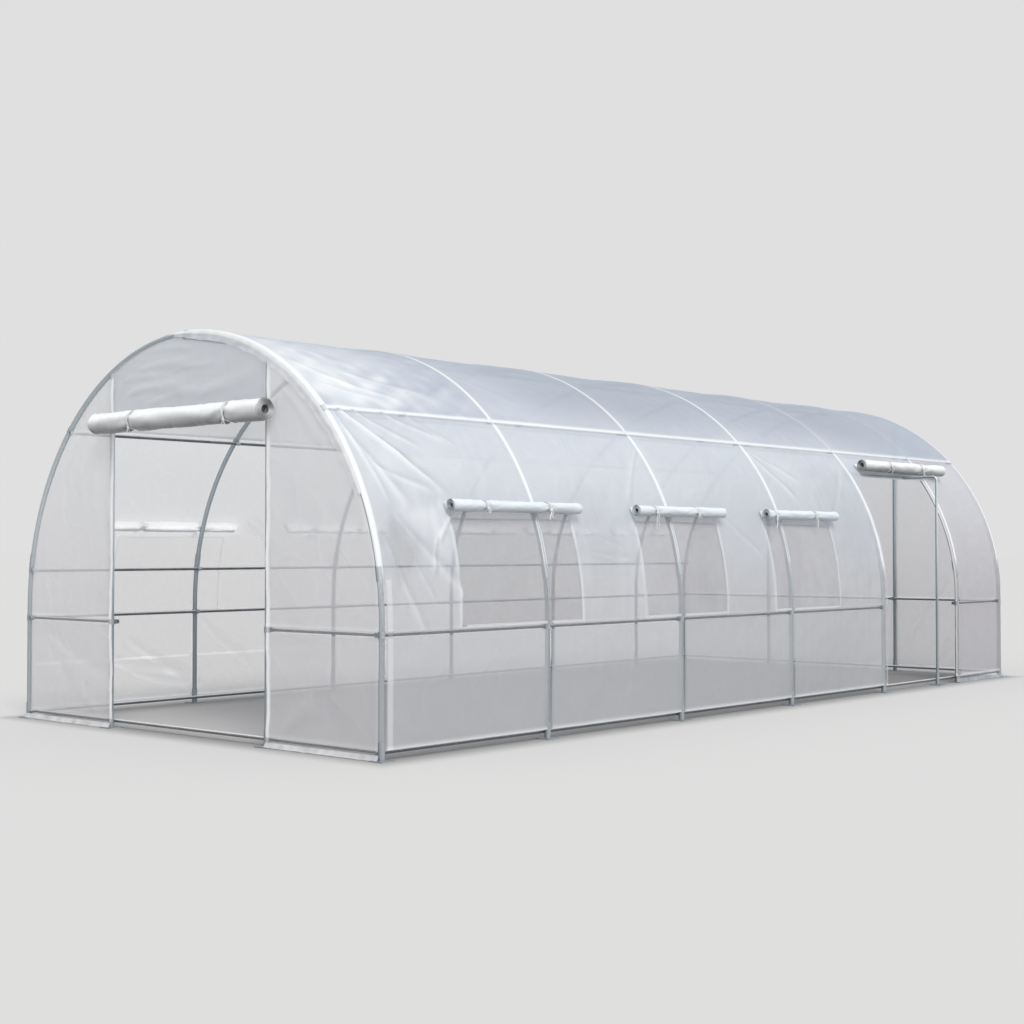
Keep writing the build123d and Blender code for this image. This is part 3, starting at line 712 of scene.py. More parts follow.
# Milky places, partly painted highlight, and places of painted shade, such as a dark triangle beside the
# front corner and darker stretches between and past the windows.
right_spots = spots(
    (
        (0.36, 1.16, 0.22, 0.065, 0.30, 0.0),
        (0.44, 1.06, 0.06, 0.10, 0.30, 0.0),
        (0.20, 1.42, 0.16, 0.24, 0.22, 0.0),
        (0.60, 1.45, 0.30, 0.16, 0.16, 0.0),
        (1.60, 1.45, 0.50, 0.20, 0.10, 0.0),
        (2.60, 1.45, 0.50, 0.20, 0.08, 0.0),
        (3.95, 1.52, 0.18, 0.14, 0.14, 0.0),
        (1.72, 0.98, 0.20, 0.30, -0.12, 0.16),
        (4.55, 1.20, 0.35, 0.40, -0.06, 0.19),
        (3.20, 1.20, 0.80, 0.40, 0.0, 0.07),
        (4.30, 0.34, 0.55, 0.22, -0.05, 0.14),
        (0.14, 1.02, 0.075, 0.13, -0.55, 0.50),
        (0.22, 0.98, 0.07, 0.05, -0.25, 0.25),
    )
)
FINE_TO = 1.75  # the grid is finer from the front to here, where the folds fan out
near_marks = [*FRONT_CURL, 0, FINE_TO, *hoops_between(0, FINE_TO)]
near_marks += [m for m in opening_marks(right_openings) if m < FINE_TO]
far_marks = [FINE_TO, RIGHT_END - HEM, RIGHT_END, *hoops_between(FINE_TO, RIGHT_END)]
far_marks += [m for m in opening_marks(right_openings) if m > FINE_TO]
right_along = np.append(spaced(near_marks, 0.0095)[:-1], spaced(far_marks, 0.0150))
side_marks = [*(PURLIN_S + step for step in (0.0, 0.007, 0.011, 0.017, 0.022)), QUARTER, FOOT_S]
side_marks += [side_s(RAIL_Z + step) for step in (-0.017, -0.011, 0.011, 0.019, 0.027)]
right_s = spaced([*side_marks, *right_openings[0][2:]], 0.0112)
DOOR_HEAD_S = side_s(1.53)
door_hem = (RIGHT_END - HEM, RIGHT_END, DOOR_HEAD_S, FOOT_S)
corner_fold = (0.022, 0.062, side_s(SHOWS_TUBE), FOOT_S)
points, uv, looks = cover(
    right_along, right_s, right_folds, seed=21, strips=[*hems_of(right_openings), door_hem, corner_fold],
    patches=right_spots, rails=(RAIL_Z,),
)
# Under each roll the film is clearer and carries a painted shadow.
for near, far, head, sill in right_openings:
    under_roll = band(uv[..., 0] - (near + far) / 2, (far - near) / 2, 0.03)
    under_roll = under_roll * band(uv[..., 1] - head + 0.03, 0.04, 0.02)
    looks[..., 0] -= 0.40 * under_roll
    looks[..., 1] += 0.30 * under_roll
keep = outside(right_along, right_s, right_openings)
cover_right = film_piece(
    "cover_right", cover_film, [grid(points, uv, looks, keep, facing=(1, 0, 0))],
    ["right_film_lower", "right_film_piers", "right_film_upper"],
)

# Film over the side door and on the short wall behind it: parts of the same cover, cut off
# above the door's header tube and hemmed along the door's far jamb.
HEAD_S = side_s(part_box("side_door_header")[0][2] - 0.004)
END_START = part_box("right_film_end")[0][1] - FRONT - 0.026  # the hem reaches past the hoop
head_along = spaced([RIGHT_END, *hoops_between(RIGHT_END, END_START), END_START], 0.014)
points, uv, looks = cover(head_along, spaced([*side_marks[:5], HEAD_S], 0.0108), seed=31)
film_piece(
    "cover_over_door", cover_film, [grid(points, uv, looks, facing=(1, 0, 0))],
    ["side_door_film_head"],
)
# The end bay's copy, its colours painted for the light there.
end_bay_film = film(
    "end_bay_film", 0.70, 0.97, (0.58, 0.56, 0.595), (0.78, 0.79, 0.84), glow=0.30, hazier=0.12
)
end_marks = [END_START, END_START + HEM, *hoops_between(END_START, LENGTH), LENGTH, *BACK_CURL]
end_along = spaced(end_marks, 0.013)
points, uv, looks = cover(
    end_along, spaced(side_marks, 0.0115), seed=31,
    strips=[(END_START, END_START + HEM, DOOR_HEAD_S, FOOT_S)], rails=(RAIL_Z,),
)
film_piece(
    "cover_right_end", end_bay_film, [grid(points, uv, looks, facing=(1, 0, 0))],
    ["right_film_end"],
)

# Left side of the cover, from the purlin to the ground rail over the whole length, with five
# windows. The daylight behind it glows through, its creases carry a painted glow, and a weld
# joins its skirt strip a little above the ground.
LEFT_NEAR, LEFT_FAR = 0.055, 0.105  # from each end of a window's roll to its opening
LEFT_WELD_Z = 0.31
left_openings = openings_of("left_window_rolls", LEFT_NEAR, LEFT_FAR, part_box("left_film_lower")[1][2])
MID_RAIL_Z = middle_of("mid_rail_left", 2)
# The left side's copy, paler: painted light for the daylight behind it, with a painted glow on its creases.
left_film = film(
    "left_film", 0.47, 0.93, (0.84, 0.83, 0.845), (0.93, 0.95, 0.985), bare=0.12, glow=0.85,
    fold_glow=0.30,
)
left_along = spaced(whole_length + opening_marks(left_openings), 0.0165)
weld_marks = [side_s(LEFT_WELD_Z + step) for step in (-0.012, -0.004, 0.004, 0.012)]
left_s = spaced([*side_marks, *weld_marks, *left_openings[0][2:]], 0.0140)
left_folds = on_side(
    (
        (0.06, 0.58, 0.55, 0.14, 0.030, 0.016),
        (0.10, 0.50, 0.30, 0.10, 0.024, 0.012),
        (0.68, 0.44, 1.22, 0.10, 0.026, 0.012),
        (0.55, 0.30, 1.15, 0.16, 0.030, 0.010),
        (0.72, 0.22, 1.30, 0.07, 0.022, 0.010),
        (1.25, 0.55, 1.70, 0.16, 0.024, 0.008),
        (1.90, 0.50, 2.35, 0.12, 0.024, 0.010),
        (2.50, 0.52, 3.00, 0.18, 0.024, 0.008),
        (1.56, 1.18, 1.80, 1.00, 0.016, 0.010),
        (1.60, 1.22, 1.72, 1.12, 0.014, 0.008),
    )
)
keep = outside(left_along, left_s, left_openings)
points, uv, looks = cover(
    left_along, left_s, left_folds, seed=41, strips=hems_of(left_openings),
    rails=(RAIL_Z, MID_RAIL_Z), left=1.0,
)
looks[..., 0] += 0.9 * band(points[..., 2] - LEFT_WELD_Z, 0.005, 0.007)
by_roll = band(points[..., 2] - middle_of("left_window_rolls", 2), 0.035, 0.02)
for near, far in tube_runs("left_window_rolls"):  # the film that the rolls lie against is clearer
    looks[..., 0] -= 0.35 * band(uv[..., 0] - (near + far) / 2, (far - near) / 2, 0.02) * by_roll
points[..., 0] *= -1
cover_left = film_piece(
    "cover_left", left_film, [grid(points, uv, looks, keep, facing=(-1, 0, 0))],
    ["left_film_lower", "left_film_piers", "left_film_upper"],
)

# Window nets: fine knitted insect net welded inside each window opening, so a rolled-up window
# lets air in and keeps insects out. From a few metres off it looks like a grey haze.
NET_LAP, NET_STEP = 0.010, 0.030  # how far it is welded on, and its grid's step


def net(name, cover_share, colour, glow):
    """Fine net: threads a millimetre apart, so that only part of the light passes between them,
    with slack places where it looks a little denser, painted shade that makes it darker towards
    the front end and paler towards the far end, and a painted highlight, whiter and denser,
    where it lies over a hoop."""
    made, tree, out = new_material(name)
    coords = add_node(tree, "TexCoord").outputs
    slack = noise(tree, coords["Object"], 5.0, 4.0)
    milk = looks_of(tree)[0]
    knit = threads(tree, coords["UV"], 130.0)
    share = math_node(tree, "MULTIPLY_ADD", math_node(tree, "SUBTRACT", knit, 0.68), 0.25, cover_share)
    share = math_node(tree, "MULTIPLY_ADD", math_node(tree, "SUBTRACT", slack, 0.5), 0.35, share)
    # Painted highlight over the hoops: denser here, and whiter further down.
    share = math_node(tree, "ADD", share, range_node(tree, milk, 0.15, 0.8, 0.0, 0.5))
    # Painted shade: darker towards the front end, paler towards the far end.
    far = range_node(tree, parts_of(tree, coords["Object"])[1], -2.5, 1.0, 0.90, 1.10)
    tone = math_node(tree, "MULTIPLY", far, range_node(tree, slack, 0.3, 0.7, 0.90, 1.0))
    colour = darkened(tree, (*colour, 1.0), tone)
    colour = mix_colours(tree, range_node(tree, milk, 0.15, 0.8), colour, (0.97, 0.98, 1.0, 1.0))
    front, back = (output(tree, kind, {"Color": colour}) for kind in ("BsdfDiffuse", "BsdfTranslucent"))
    body = output(tree, "MixShader", {0: glow, 1: front, 2: back})
    hole = output(tree, "BsdfTransparent")
    tree.links.new(output(tree, "MixShader", {0: share, 1: hole, 2: body}), out)
    return made


# The right net is a darker copy and the left a paler one: painted shade and painted light on one net.
right_net = net("right_window_net", 0.72, (0.615, 0.615, 0.65), 0.35)
left_net = net("left_window_net", 0.42, (0.93, 0.93, 0.94), 0.85)
for hand, openings, material, side, rests in (
    ("right", right_openings, right_net, 1, cover_right),
    ("left", left_openings, left_net, -1, cover_left),
):
    patches, total = [], 0.0
    for near, far, head, sill in openings:
        net_along = spaced([near - NET_LAP, *hoops_between(near, far), far + NET_LAP], NET_STEP)
        net_s = spaced([head - NET_LAP, sill + NET_LAP], NET_STEP)
        points, uv, looks = cover(net_along, net_s, seed=151, inset=0.004, left=0.0 if side > 0 else 1.0)
        points[..., 0] *= side
        patches.append(grid(points, uv, looks, facing=(side, 0, 0)))
        total += far - near + 2 * NET_LAP
    nets = make_piece(hand + "_window_nets", material, patches)

# End walls: flat panels of the same film, laced inside the end hoops, with a milky hem beside
# each door post. The front has two side panels and a gable over the door; the back is one panel.
END_R = HALF_WIDTH - 0.0115  # the panels' edge, just inside the hoop
POST_X, BACK_POST_X = middle_of("front_door_post_right", 0), middle_of("back_post_right", 0)
FRONT_FILM_Y, BACK_FILM_Y = middle_of("front_gable_film", 1), middle_of("back_film", 1)
GROUND_RAIL_Z = middle_of("ground_rail_front", 2)
PANEL_FOOT = 0.030  # the end panels reach down over the ground rail


def end_panel(left, right, bottom, plane, out, step, seed, lines=(), hems=(), rails=(), bare_rim=0.0):
    """A flat panel whose top follows the half round. Columns stand at even steps round the arc.
    Rows lie level up to the highest rail and divide the rest of each column evenly. The face
    swells a few millimetres with random waves, creases and folds, and turns back at the hoop.
    Creases and fold ridges are whiter, partly painted highlight, and fold troughs carry painted
    shade; over each rail the film is clearer, with a painted highlight just above it. hems are
    milky strips between two places across the panel. The first result holds the points and
    the others the flat measures and the looks."""
    marks = [x for x in (left, right, *[x for hem in hems for x in hem]) if left <= x <= right]
    angles = spaced([math.asin(x / END_R) for x in marks], step / END_R)
    tops = LEG_TOP + END_R * np.cos(angles)
    beside = [rail + away for rail in rails for away in (-0.017, -0.011, 0.011, 0.024, 0.034)]
    level = spaced([bottom, *[z for z in beside if z > bottom]], step) if rails else np.array([bottom])
    rows = np.linspace(0, 1, math.ceil((tops.max() - level[-1]) / step) + 1)[1:]
    upper = level[-1] + (tops - level[-1])[:, None] * rows[None, :]
    z = np.concatenate([np.repeat(level[None, :], len(tops), axis=0), upper], axis=1)
    x = np.repeat(END_R * np.sin(angles)[:, None], z.shape[1], axis=1)
    rim = END_R - np.where(z > LEG_TOP, np.hypot(x, z - LEG_TOP), np.abs(x))
    free = smooth(rim, 0.0, 0.25) * smooth(z, bottom, bottom + 0.15)
    swell = 0.007 * free * ripples(x, z, 0.6, seed) + 0.002 * free * ripples(x, z, 0.17, seed + 1)
    crease = crumples(x, z, 0.32, seed + 2)
    swell += 0.0016 * free * crease
    raised, sharp, trough = folds(x, z, lines)
    swell += raised
    # Whiter fold ridges, partly painted highlight, and painted shade in the troughs.
    milk = 0.03 * crease + 0.30 * sharp + 0.01 * crumples(x, z, 0.12, seed + 3) - 0.1 * trough
    shade = 0.15 * trough
    for low, high in hems:
        milk += 1.1 * band(x - (low + high) / 2, (high - low) / 2 - 0.002, 0.004)
    # Clearer over each rail, with a painted highlight just above it.
    for rail in rails:
        milk -= 0.9 * band(z - rail, 0.011, 0.006)
        milk += 0.25 * bell(z - rail - 0.024, 0.010)
    milk -= 1.3 * bare_rim * (1 - smooth(rim, 0.030, 0.040))
    back = np.exp(-rim / 0.006) * 0.008
    y = plane + out * (swell - back)
    return np.stack([x, y, z], axis=-1), np.stack([x, z], axis=-1), as_looks(milk, shade)


# The end walls' copies, their colours painted for the light on each.
end_film = film("end_film", 0.68, 0.95, (0.80, 0.79, 0.815), (0.94, 0.935, 0.95))
gable_film = film("gable_film", 0.72, 0.95, (0.70, 0.72, 0.76), (0.70, 0.72, 0.765))
end_rails = (RAIL_Z, GROUND_RAIL_Z)
front_lines = ((0.78, 0.08, 1.05, 0.30, 0.04, 0.002), (0.80, 1.80, 1.20, 1.45, 0.03, 0.002))
for side, hand, edge, hem, seed, bare in (
    (-1, "left", POST_X - 0.034, (POST_X - 0.033, POST_X - 0.010), 51, 1.0),
    (1, "right", POST_X + 0.012, (POST_X + 0.013, POST_X + 0.036), 61, 0.0),
):
    points, uv, looks = end_panel(
        edge, END_R, PANEL_FOOT, FRONT_FILM_Y, -1, 0.0115, seed, front_lines,
        hems=[hem], rails=end_rails, bare_rim=bare,
    )
    points[..., 0] *= side
    film_piece(
        "front_panel_" + hand, end_film, [grid(points, uv, looks, facing=(0, -1, 0))],
        ["front_film_" + hand],
    )
gable_folds = (
    (-0.42, 1.98, 0.10, 2.02, 0.020, 0.006),
    (-0.52, 1.86, 0.04, 1.91, 0.026, 0.007),
    (-0.34, 1.79, 0.42, 1.88, 0.026, 0.005),
    (-0.12, 1.95, 0.28, 1.99, 0.014, 0.004),
    (-0.56, 1.93, -0.18, 1.96, 0.018, 0.004),
    (-0.30, 2.07, 0.12, 2.09, 0.014, 0.003),
    (0.10, 1.80, 0.60, 1.93, 0.030, 0.003),
)
GABLE_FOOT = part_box("front_door_roll")[0][2] + 0.045  # behind the roll that hangs from it
points, uv, looks = end_panel(-POST_X, POST_X, GABLE_FOOT, FRONT_FILM_Y, -1, 0.0105, 71, gable_folds)
film_piece(
    "gable_panel", gable_film, [grid(points, uv, looks, facing=(0, -1, 0))], ["front_gable_film"],
)
# The back wall's copy, its colours painted for the light there.
back_film = film("back_film", 0.70, 0.95, (0.66, 0.655, 0.68), (0.88, 0.88, 0.91), glow=0.6)
back_lines = (
    (0.95, 0.10, 1.30, 0.50, 0.03, 0.008),
    (1.40, 0.60, 1.05, 1.30, 0.025, 0.007),
    (0.70, 0.20, 1.10, 0.90, 0.02, 0.006),
)
points, uv, looks = end_panel(
    -END_R, END_R, PANEL_FOOT, BACK_FILM_Y, 1, 0.0150, 81, back_lines,
    hems=[(x - 0.012, x + 0.012) for x in (-BACK_POST_X, BACK_POST_X)], rails=end_rails,
)
film_piece(
    "back_panel", back_film, [grid(points, uv, looks, facing=(0, 1, 0))], ["back_film"],
)

# Front hem: the loose edge of the cover, gathered inside the right half of the front hoop from
# its top to about head height, where it shows as a wavy milky band.
HEM_DEPTH, HEM_LAP = 0.036, 0.016  # how far it hangs in, and how far it is laid round the tube
HEM_SPAN = (math.radians(-3.0), math.radians(66.0))  # from the top of the hoop to the right
angle, t = np.meshgrid(spaced(HEM_SPAN, 0.008), np.linspace(0, 1, 9), indexing="ij")
round_it = angle * END_R
depth = HEM_DEPTH + 0.004 * ripples(round_it, 0 * t, 0.14, 161)
depth += 0.0015 * ripples(round_it, 0 * t, 0.04, 162)
depth *= 0.30 + 0.70 * smooth(angle, HEM_SPAN[0], 0.12) - 0.45 * smooth(angle, 0.80, HEM_SPAN[1])
radius = HALF_WIDTH + 0.010 - (depth + HEM_LAP) * t
y = FRONT_FILM_Y - 0.004 - 0.005 * t * (1 + ripples(round_it, t * 0.03, 0.08, 163))
points = np.stack([radius * np.sin(angle), y, LEG_TOP + radius * np.cos(angle)], axis=-1)
milk = 0.92 - 0.68 * smooth(t, 0.28, 0.46) + 0.12 * ripples(round_it, t * 0.05, 0.09, 164)
milk += 0.3 * smooth(t, 0.86, 0.97)
# The hem's copy, its colours painted for the light there.
hem_film = film("hem_film", 0.55, 0.95, (0.80, 0.81, 0.82), (0.80, 0.82, 0.85))
flat = np.stack([round_it, t * HEM_DEPTH], axis=-1)
# A thin line of painted shade along its inner edge.
looks = as_looks(milk, 0.25 * band(t - 1, 0.02, 0.1))
film_piece(
    "front_hem", hem_film, [grid(points, flat, looks, facing=(0, -1, 0))], [],
)

# Skirts: loose flaps of film at the foot of the end panels and of the short side wall. They
# hang over the ground rail's lower half and lie outwards on the ground in soft waves.
SKIRT_TOP, SKIRT_FOOT, SKIRT_OUT = 0.029, 0.003, 0.022
SIDE_SKIRT_TOP = 0.056
SIDE_SKIRT_END = LENGTH + 0.018


def flap(start, end, seed, out_from, top=SKIRT_TOP):
    """A hanging strip that bends outwards at the ground: the first result is how far along it
    is, the second how far out and the third how high. Its outer edge runs in and out in waves."""
    u, v = np.meshgrid(spaced([start, end], 0.010), np.linspace(0, 1, 13), indexing="ij")
    reach = SKIRT_OUT * (1 + 0.22 * ripples(u, 0 * v, 0.16, seed)) - out_from
    out = out_from + reach * smooth(v, 0.12, 1.0)
    fall = 1 - smooth(v, 0.0, 0.72)
    lift = 0.004 * v * (1 + ripples(u, v * 0.05, 0.09, seed + 1)) * (1 - 0.7 * v)
    z = SKIRT_FOOT + (top - SKIRT_FOOT) * fall + lift
    milk = 0.40 + 0.20 * ripples(u, v * 0.06, 0.10, seed + 2) + 0.35 * smooth(v, 0.85, 0.95)
    flat = np.stack([u, v * (top - SKIRT_FOOT + SKIRT_OUT)], axis=-1)
    return u, out, z, flat, as_looks(np.clip(milk, 0.1, 1), 0 * milk)


# The front skirts' copy, its colours painted for the light there.
skirt_film = film("skirt_film", 0.62, 0.95, (0.88, 0.88, 0.90), (0.88, 0.89, 0.92))
patches = []
for side, edge in ((-1, POST_X - 0.020), (1, POST_X + 0.012)):
    u, out, z, uv, looks = flap(edge, END_R + 0.012, 90 + side, 0.003)
    points = np.stack([side * u, FRONT_FILM_Y - out, z], axis=-1)
    patches.append(grid(points, uv, looks, facing=(0, -1, 0.3)))
film_piece(
    "front_skirt_flaps", skirt_film, patches, ["front_skirts"],
)
# The side skirt's copy, bluer, its colours painted for the light there.
end_skirt_film = film("end_skirt_film", 0.58, 0.90, (0.74, 0.79, 0.86), (0.74, 0.79, 0.86))
u, out, z, uv, looks = flap(END_START, SIDE_SKIRT_END, 95, 0.003, top=SIDE_SKIRT_TOP)
looks[..., 0] -= 0.30 + 1.0 * band(z - GROUND_RAIL_Z, 0.007, 0.005)
points = np.stack([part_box("side_end_skirt")[1][0] - 0.004 + out, FRONT + u, z], axis=-1)
film_piece(
    "side_skirt_flap", end_skirt_film, [grid(points, uv, looks, facing=(1, 0, 0.3))],
    ["side_end_skirt"],
)

# Rolled-up doors and windows: each is a panel of film that hangs from the wall above its
# opening, rolled up outwards from its foot into a loose roll of many turns. The straps pinch it.
def placed(start, *moves):
    """The points of a grid: a start moved along directions by grids of distances."""
    for way, distance in moves:
        start = start + way * distance[..., None]
    return start


def rolled_film(start, end, out, up, radius, ties, seed, core, pitch, lead):
    """A rolled sheet. The first measure runs along the roll's axis and the second along the
    film: straight down behind the roll, then round a spiral whose radius shrinks by the
    pitch at each turn. The radius is pinched at the ties, swells between them, and carries
    folds that start at the ties and fade away from them. Its inner turns and the gathers
    beside the ties carry painted shade. At each end the edges of the turns show as rings round
    a dark hole, both darkened by painted shade."""
    start, end, out, up = (np.asarray(p, float) for p in (start, end, out, up))
    length = np.linalg.norm(end - start)
    axis = (end - start) / length
    turns = (radius - core) / pitch
    alpha = np.linspace(0, 2 * math.pi * turns, math.ceil(22 * turns))
    drop = np.linspace(lead, 0, 5)[:-1]
    turn = np.concatenate([np.zeros(len(drop)), alpha])
    rest = np.concatenate([np.full(len(drop), radius), radius - pitch * alpha / (2 * math.pi)])
    above = np.concatenate([drop, np.zeros(len(alpha))])
    marks = [m + step for m in ties for step in (-0.012, 0.012)]
    u, a = np.meshgrid(spaced([0, length, *marks], 0.0125), turn, indexing="ij")
    r = np.broadcast_to(rest, u.shape)
    apart = np.abs(u[..., None] - np.array(ties))
    near = bell(apart, 0.024).sum(axis=-1)
    fading = np.exp(-apart / 0.09).sum(axis=-1)
    size = 1 - 0.20 * near - 0.045 * (1 + ripples(u, 0 * u, 0.40, seed))
    size = size + 0.085 * fading * np.cos(6 * a + 4 * ripples(u, 0 * u, 0.25, seed + 1))
    size = size + 0.026 * np.cos(3 * a + 4 * ripples(u, 0 * u, 0.5, seed + 2)) * (1 - near)
    size = size - 0.045 * crumples(u, radius * np.cos(a) * 0.5, 0.16, seed + 3) * (1 - near)
    size = np.where(above[None, :] > 0, 1.0, size)
    mouth = 0.6 * ripples(0 * u, a * 0.05, 0.25, seed + 4) + 0.2 * (a / a.max())
    slide = -0.006 * mouth * (2 * u / length - 1)
    sag = -0.05 * radius * (1 - near)
    o = -r * size * np.cos(a)
    w = -r * size * np.sin(a) * 0.97 + above[None, :] + sag * (above[None, :] <= 0)
    points = placed(start, (axis, u + slide), (out, o), (up, w))
    steps = np.hypot(np.diff(r[0] * np.cos(a[0])), np.diff(r[0] * np.sin(a[0]) + above))
    far = np.concatenate([[0], np.cumsum(steps)])
    uv = np.stack([u, np.broadcast_to(far, u.shape)], axis=-1)
    crease = np.clip(0.5 * fading + 0.5 * crumples(u, far[None, :] + 0 * u, 0.12, seed + 5), 0, 1)
    # Painted shade in the inner turns and beside the ties.
    inner = smooth(a, 2 * math.pi * (turns - 2.2), 2 * math.pi * (turns - 0.5))
    gathers = 0.30 * bell(apart - 0.017, 0.005).sum(axis=-1)
    gathers = gathers + 0.10 * fading * (0.5 - 0.5 * np.cos(6 * a + seed))
    patches = [grid(points, uv, as_looks(crease, np.clip(inner + gathers, 0, 1)))]
    a, t = np.meshgrid(np.linspace(0, 2 * math.pi, 41), np.linspace(0, 1, 25), indexing="ij")
    r = radius * t * (0.90 + 0.025 * np.cos(2 * a + seed) + 0.015 * np.cos(5 * a))
    rings = 0.5 + 0.5 * np.cos(2 * math.pi * r / pitch - a)
    hole = 1 - smooth(t, core / radius * 0.7, core / radius * 1.3 + 0.06)
    for place, way in ((0.004, 1), (length - 0.004, -1)):
        inward = place + way * (0.004 * rings * t + 0.012 * hole)
        points = placed(start, (axis, inward), (out, r * np.cos(a)), (up, r * np.sin(a) - 0.05 * radius))
        # Painted shade in bands across the rings and in the hole.
        looks = as_looks(0.6 * rings, 0.12 + 0.32 * rings + 0.75 * hole)
        patches.append(grid(points, np.stack([r, a * radius], axis=-1), looks, facing=-way * axis))
    return patches, far[-1]


def rolled_material(name, light, dark, under, glow, lets_light_in=0.0):
    """Many layers of film together: milky and hardly see-through, lighter along creases, lighter
    on top and darker underneath as painted light and shade, with painted shade in the core,
    streaks along the roll and a soft shine. Where the layers let light in, each takes only a
    small part of what falls on the next, the underside gets a darker painted shade, and the side
    that looks into the tunnel has a painted glow, an emission, for the daylight behind."""
    made, tree, out = new_material(name)
    coords = add_node(tree, "TexCoord").outputs
    milk, shade, _ = looks_of(tree)
    streak = output(tree, "Mapping", {"Vector": coords["UV"], "Scale": (5.0, 60.0, 1.0)})
    streak = noise(tree, streak, 1.0, 5.0)
    fine = noise(tree, coords["Object"], 60.0, 5.0)
    share = math_node(tree, "MULTIPLY_ADD", milk, 0.35, range_node(tree, streak, 0.35, 0.65, 0.0, 0.7))
    colour = mix_colours(tree, share, (*dark, 1.0), (*light, 1.0))
    facing = parts_of(tree, add_node(tree, "NewGeometry").outputs["Normal"])
    # Painted shade on the underside.
    colour = darkened(tree, colour, range_node(tree, facing[2], -0.85, 0.45, under, 1.0))
    # Painted shade from the looks.
    colour = darkened(tree, colour, range_node(tree, shade, 0.0, 1.0, 1.0, 0.06))
    # Where light is let in, a darker painted shade along the underside.
    if lets_light_in:
        colour = darkened(tree, colour, range_node(tree, facing[2], -0.75, -0.4, 0.22, 1.0))
    gloss = math_node(tree, "MULTIPLY_ADD", fine, 0.3, 0.2)
    relief = math_node(tree, "MULTIPLY_ADD", streak, 0.8, fine)
    bump = bumped(tree, relief, 0.45, 0.004)
    front = coated(tree, colour, gloss, bump)
    back = output(tree, "BsdfTranslucent", {"Color": colour, "Normal": bump})
    body = output(tree, "MixShader", {0: glow, 1: front, 2: back})
    rays = add_node(tree, "LightPath").outputs
    past = math_node(tree, "MAXIMUM", rays["Is Shadow Ray"], rays["Is Diffuse Ray"])
    past = math_node(tree, "MULTIPLY", past, lets_light_in)
    body = output(tree, "MixShader", {0: past, 1: body, 2: output(tree, "BsdfTransparent")})
    # Painted glow: the side that looks into the tunnel gives off light.
    if lets_light_in:
        inner = range_node(tree, facing[0], -0.1, 0.5, 0.0, 0.27)
        bright = output(tree, "Emission", {"Color": colour, "Strength": inner})
        body = output(tree, "AddShader", {0: body, 1: bright})
    tree.links.new(body, out)
    return made


def clusters(values):
    """The middles of the groups of numbers that lie closer together than a hand's width."""
    values = np.unique(np.round(values, 4))
    groups = np.split(values, np.flatnonzero(np.diff(values) > 0.08) + 1)
    return [float(group[0] + group[-1]) / 2 for group in groups]


# Each kind of roll gets its own copy of the roll material, its colours, shade and glow set for the light
# where it hangs: painted light and shade on one film.
rolled = rolled_material("rolled_film", (1.0, 1.0, 1.0), (0.95, 0.97, 1.0), 0.21, 0.0)
rolled_window = rolled_material(
    "rolled_film_window", (0.90, 0.945, 0.99), (0.78, 0.845, 0.93), 0.57, 0.0
)
rolled_left = rolled_material("rolled_film_left", (1.0, 1.0, 1.0), (0.93, 0.94, 0.95), 0.66, 0.6, 0.96)
door_ties, window_ties = node_points("door_roll_ties"), node_points("window_roll_ties")
straps = {"door": [], "window": []}  # roll's start and end, out, up, radius, where, tail's length
FRONT_TAIL, SIDE_TAIL, WINDOW_TAILS = 0.032, 0.05, (0.03, 0.05, 0.07, 0.09)

low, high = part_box("front_door_roll")
radius = (high[2] - low[2]) / 2
across = (middle_of("front_door_roll", 1), middle_of("front_door_roll", 2))
line = ((low[0], *across), (high[0], *across), (0, -1, 0), (0, 0, 1))
front_ties = [x - low[0] for x in clusters(door_ties[door_ties[:, 1] < FRONT, 0])]
patches, far = rolled_film(*line, radius, front_ties, 101, core=0.017, pitch=0.0066, lead=0.06)
film_piece(
    "rolled_front_door", rolled, patches, ["front_door_roll"],
)
straps["door"] += [(*line, radius, place, FRONT_TAIL) for place in front_ties]


def side_line(node, run, side):
    """Where a roll lies against the curved side: its start, its end, and the directions outwards
    and up the film."""
    low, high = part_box(node)
    x, z = side * max(abs(low[0]), abs(high[0])), middle_of(node, 2)
    x -= side * (high[2] - low[2]) / 2
    out = np.array([x, 0, z - LEG_TOP]) / math.hypot(x, z - LEG_TOP)
    up = np.array([-out[2] * side, 0, out[0] * side])
    return (x, FRONT + run[0], z), (x, FRONT + run[1], z), out, up


low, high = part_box("side_door_roll")
radius = (high[2] - low[2]) / 2
run = (low[1] - FRONT, high[1] - FRONT)
line = side_line("side_door_roll", run, 1)
side_door_ties = [y - low[1] for y in clusters(door_ties[door_ties[:, 1] > FRONT + 1, 1])]
patches, far = rolled_film(*line, radius, side_door_ties, 111, core=0.013, pitch=0.0041, lead=radius)
film_piece(
    "rolled_side_door", rolled, patches, ["side_door_roll"],
)
straps["door"] += [(*line, radius, place, SIDE_TAIL) for place in side_door_ties]

for hand, material, side, seed in (("right", rolled_window, 1, 121), ("left", rolled_left, -1, 141)):
    node = hand + "_window_rolls"
    patches, total = [], 0.0
    radius = (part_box(node)[1][2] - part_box(node)[0][2]) / 2
    for k, run in enumerate(tube_runs(node)):
        line = side_line(node, run, side)
        on_this = window_ties[(window_ties[:, 0] * side > 0) & (window_ties[:, 1] > FRONT + run[0])]
        on_this = on_this[on_this[:, 1] < FRONT + run[1]]
        ties = [y - FRONT - run[0] for y in clusters(on_this[:, 1])]
        made, far = rolled_film(*line, radius, ties, seed + k, core=0.009, pitch=0.0058, lead=radius)
        patches += made
        total += run[1] - run[0]
        for n, place in enumerate(ties):
            straps["window"].append((*line, radius, place, WINDOW_TAILS[(7 * k + 5 * n) % 4]))
    name = "rolled_" + hand + "_windows"
    film_piece(name, material, patches, [node])

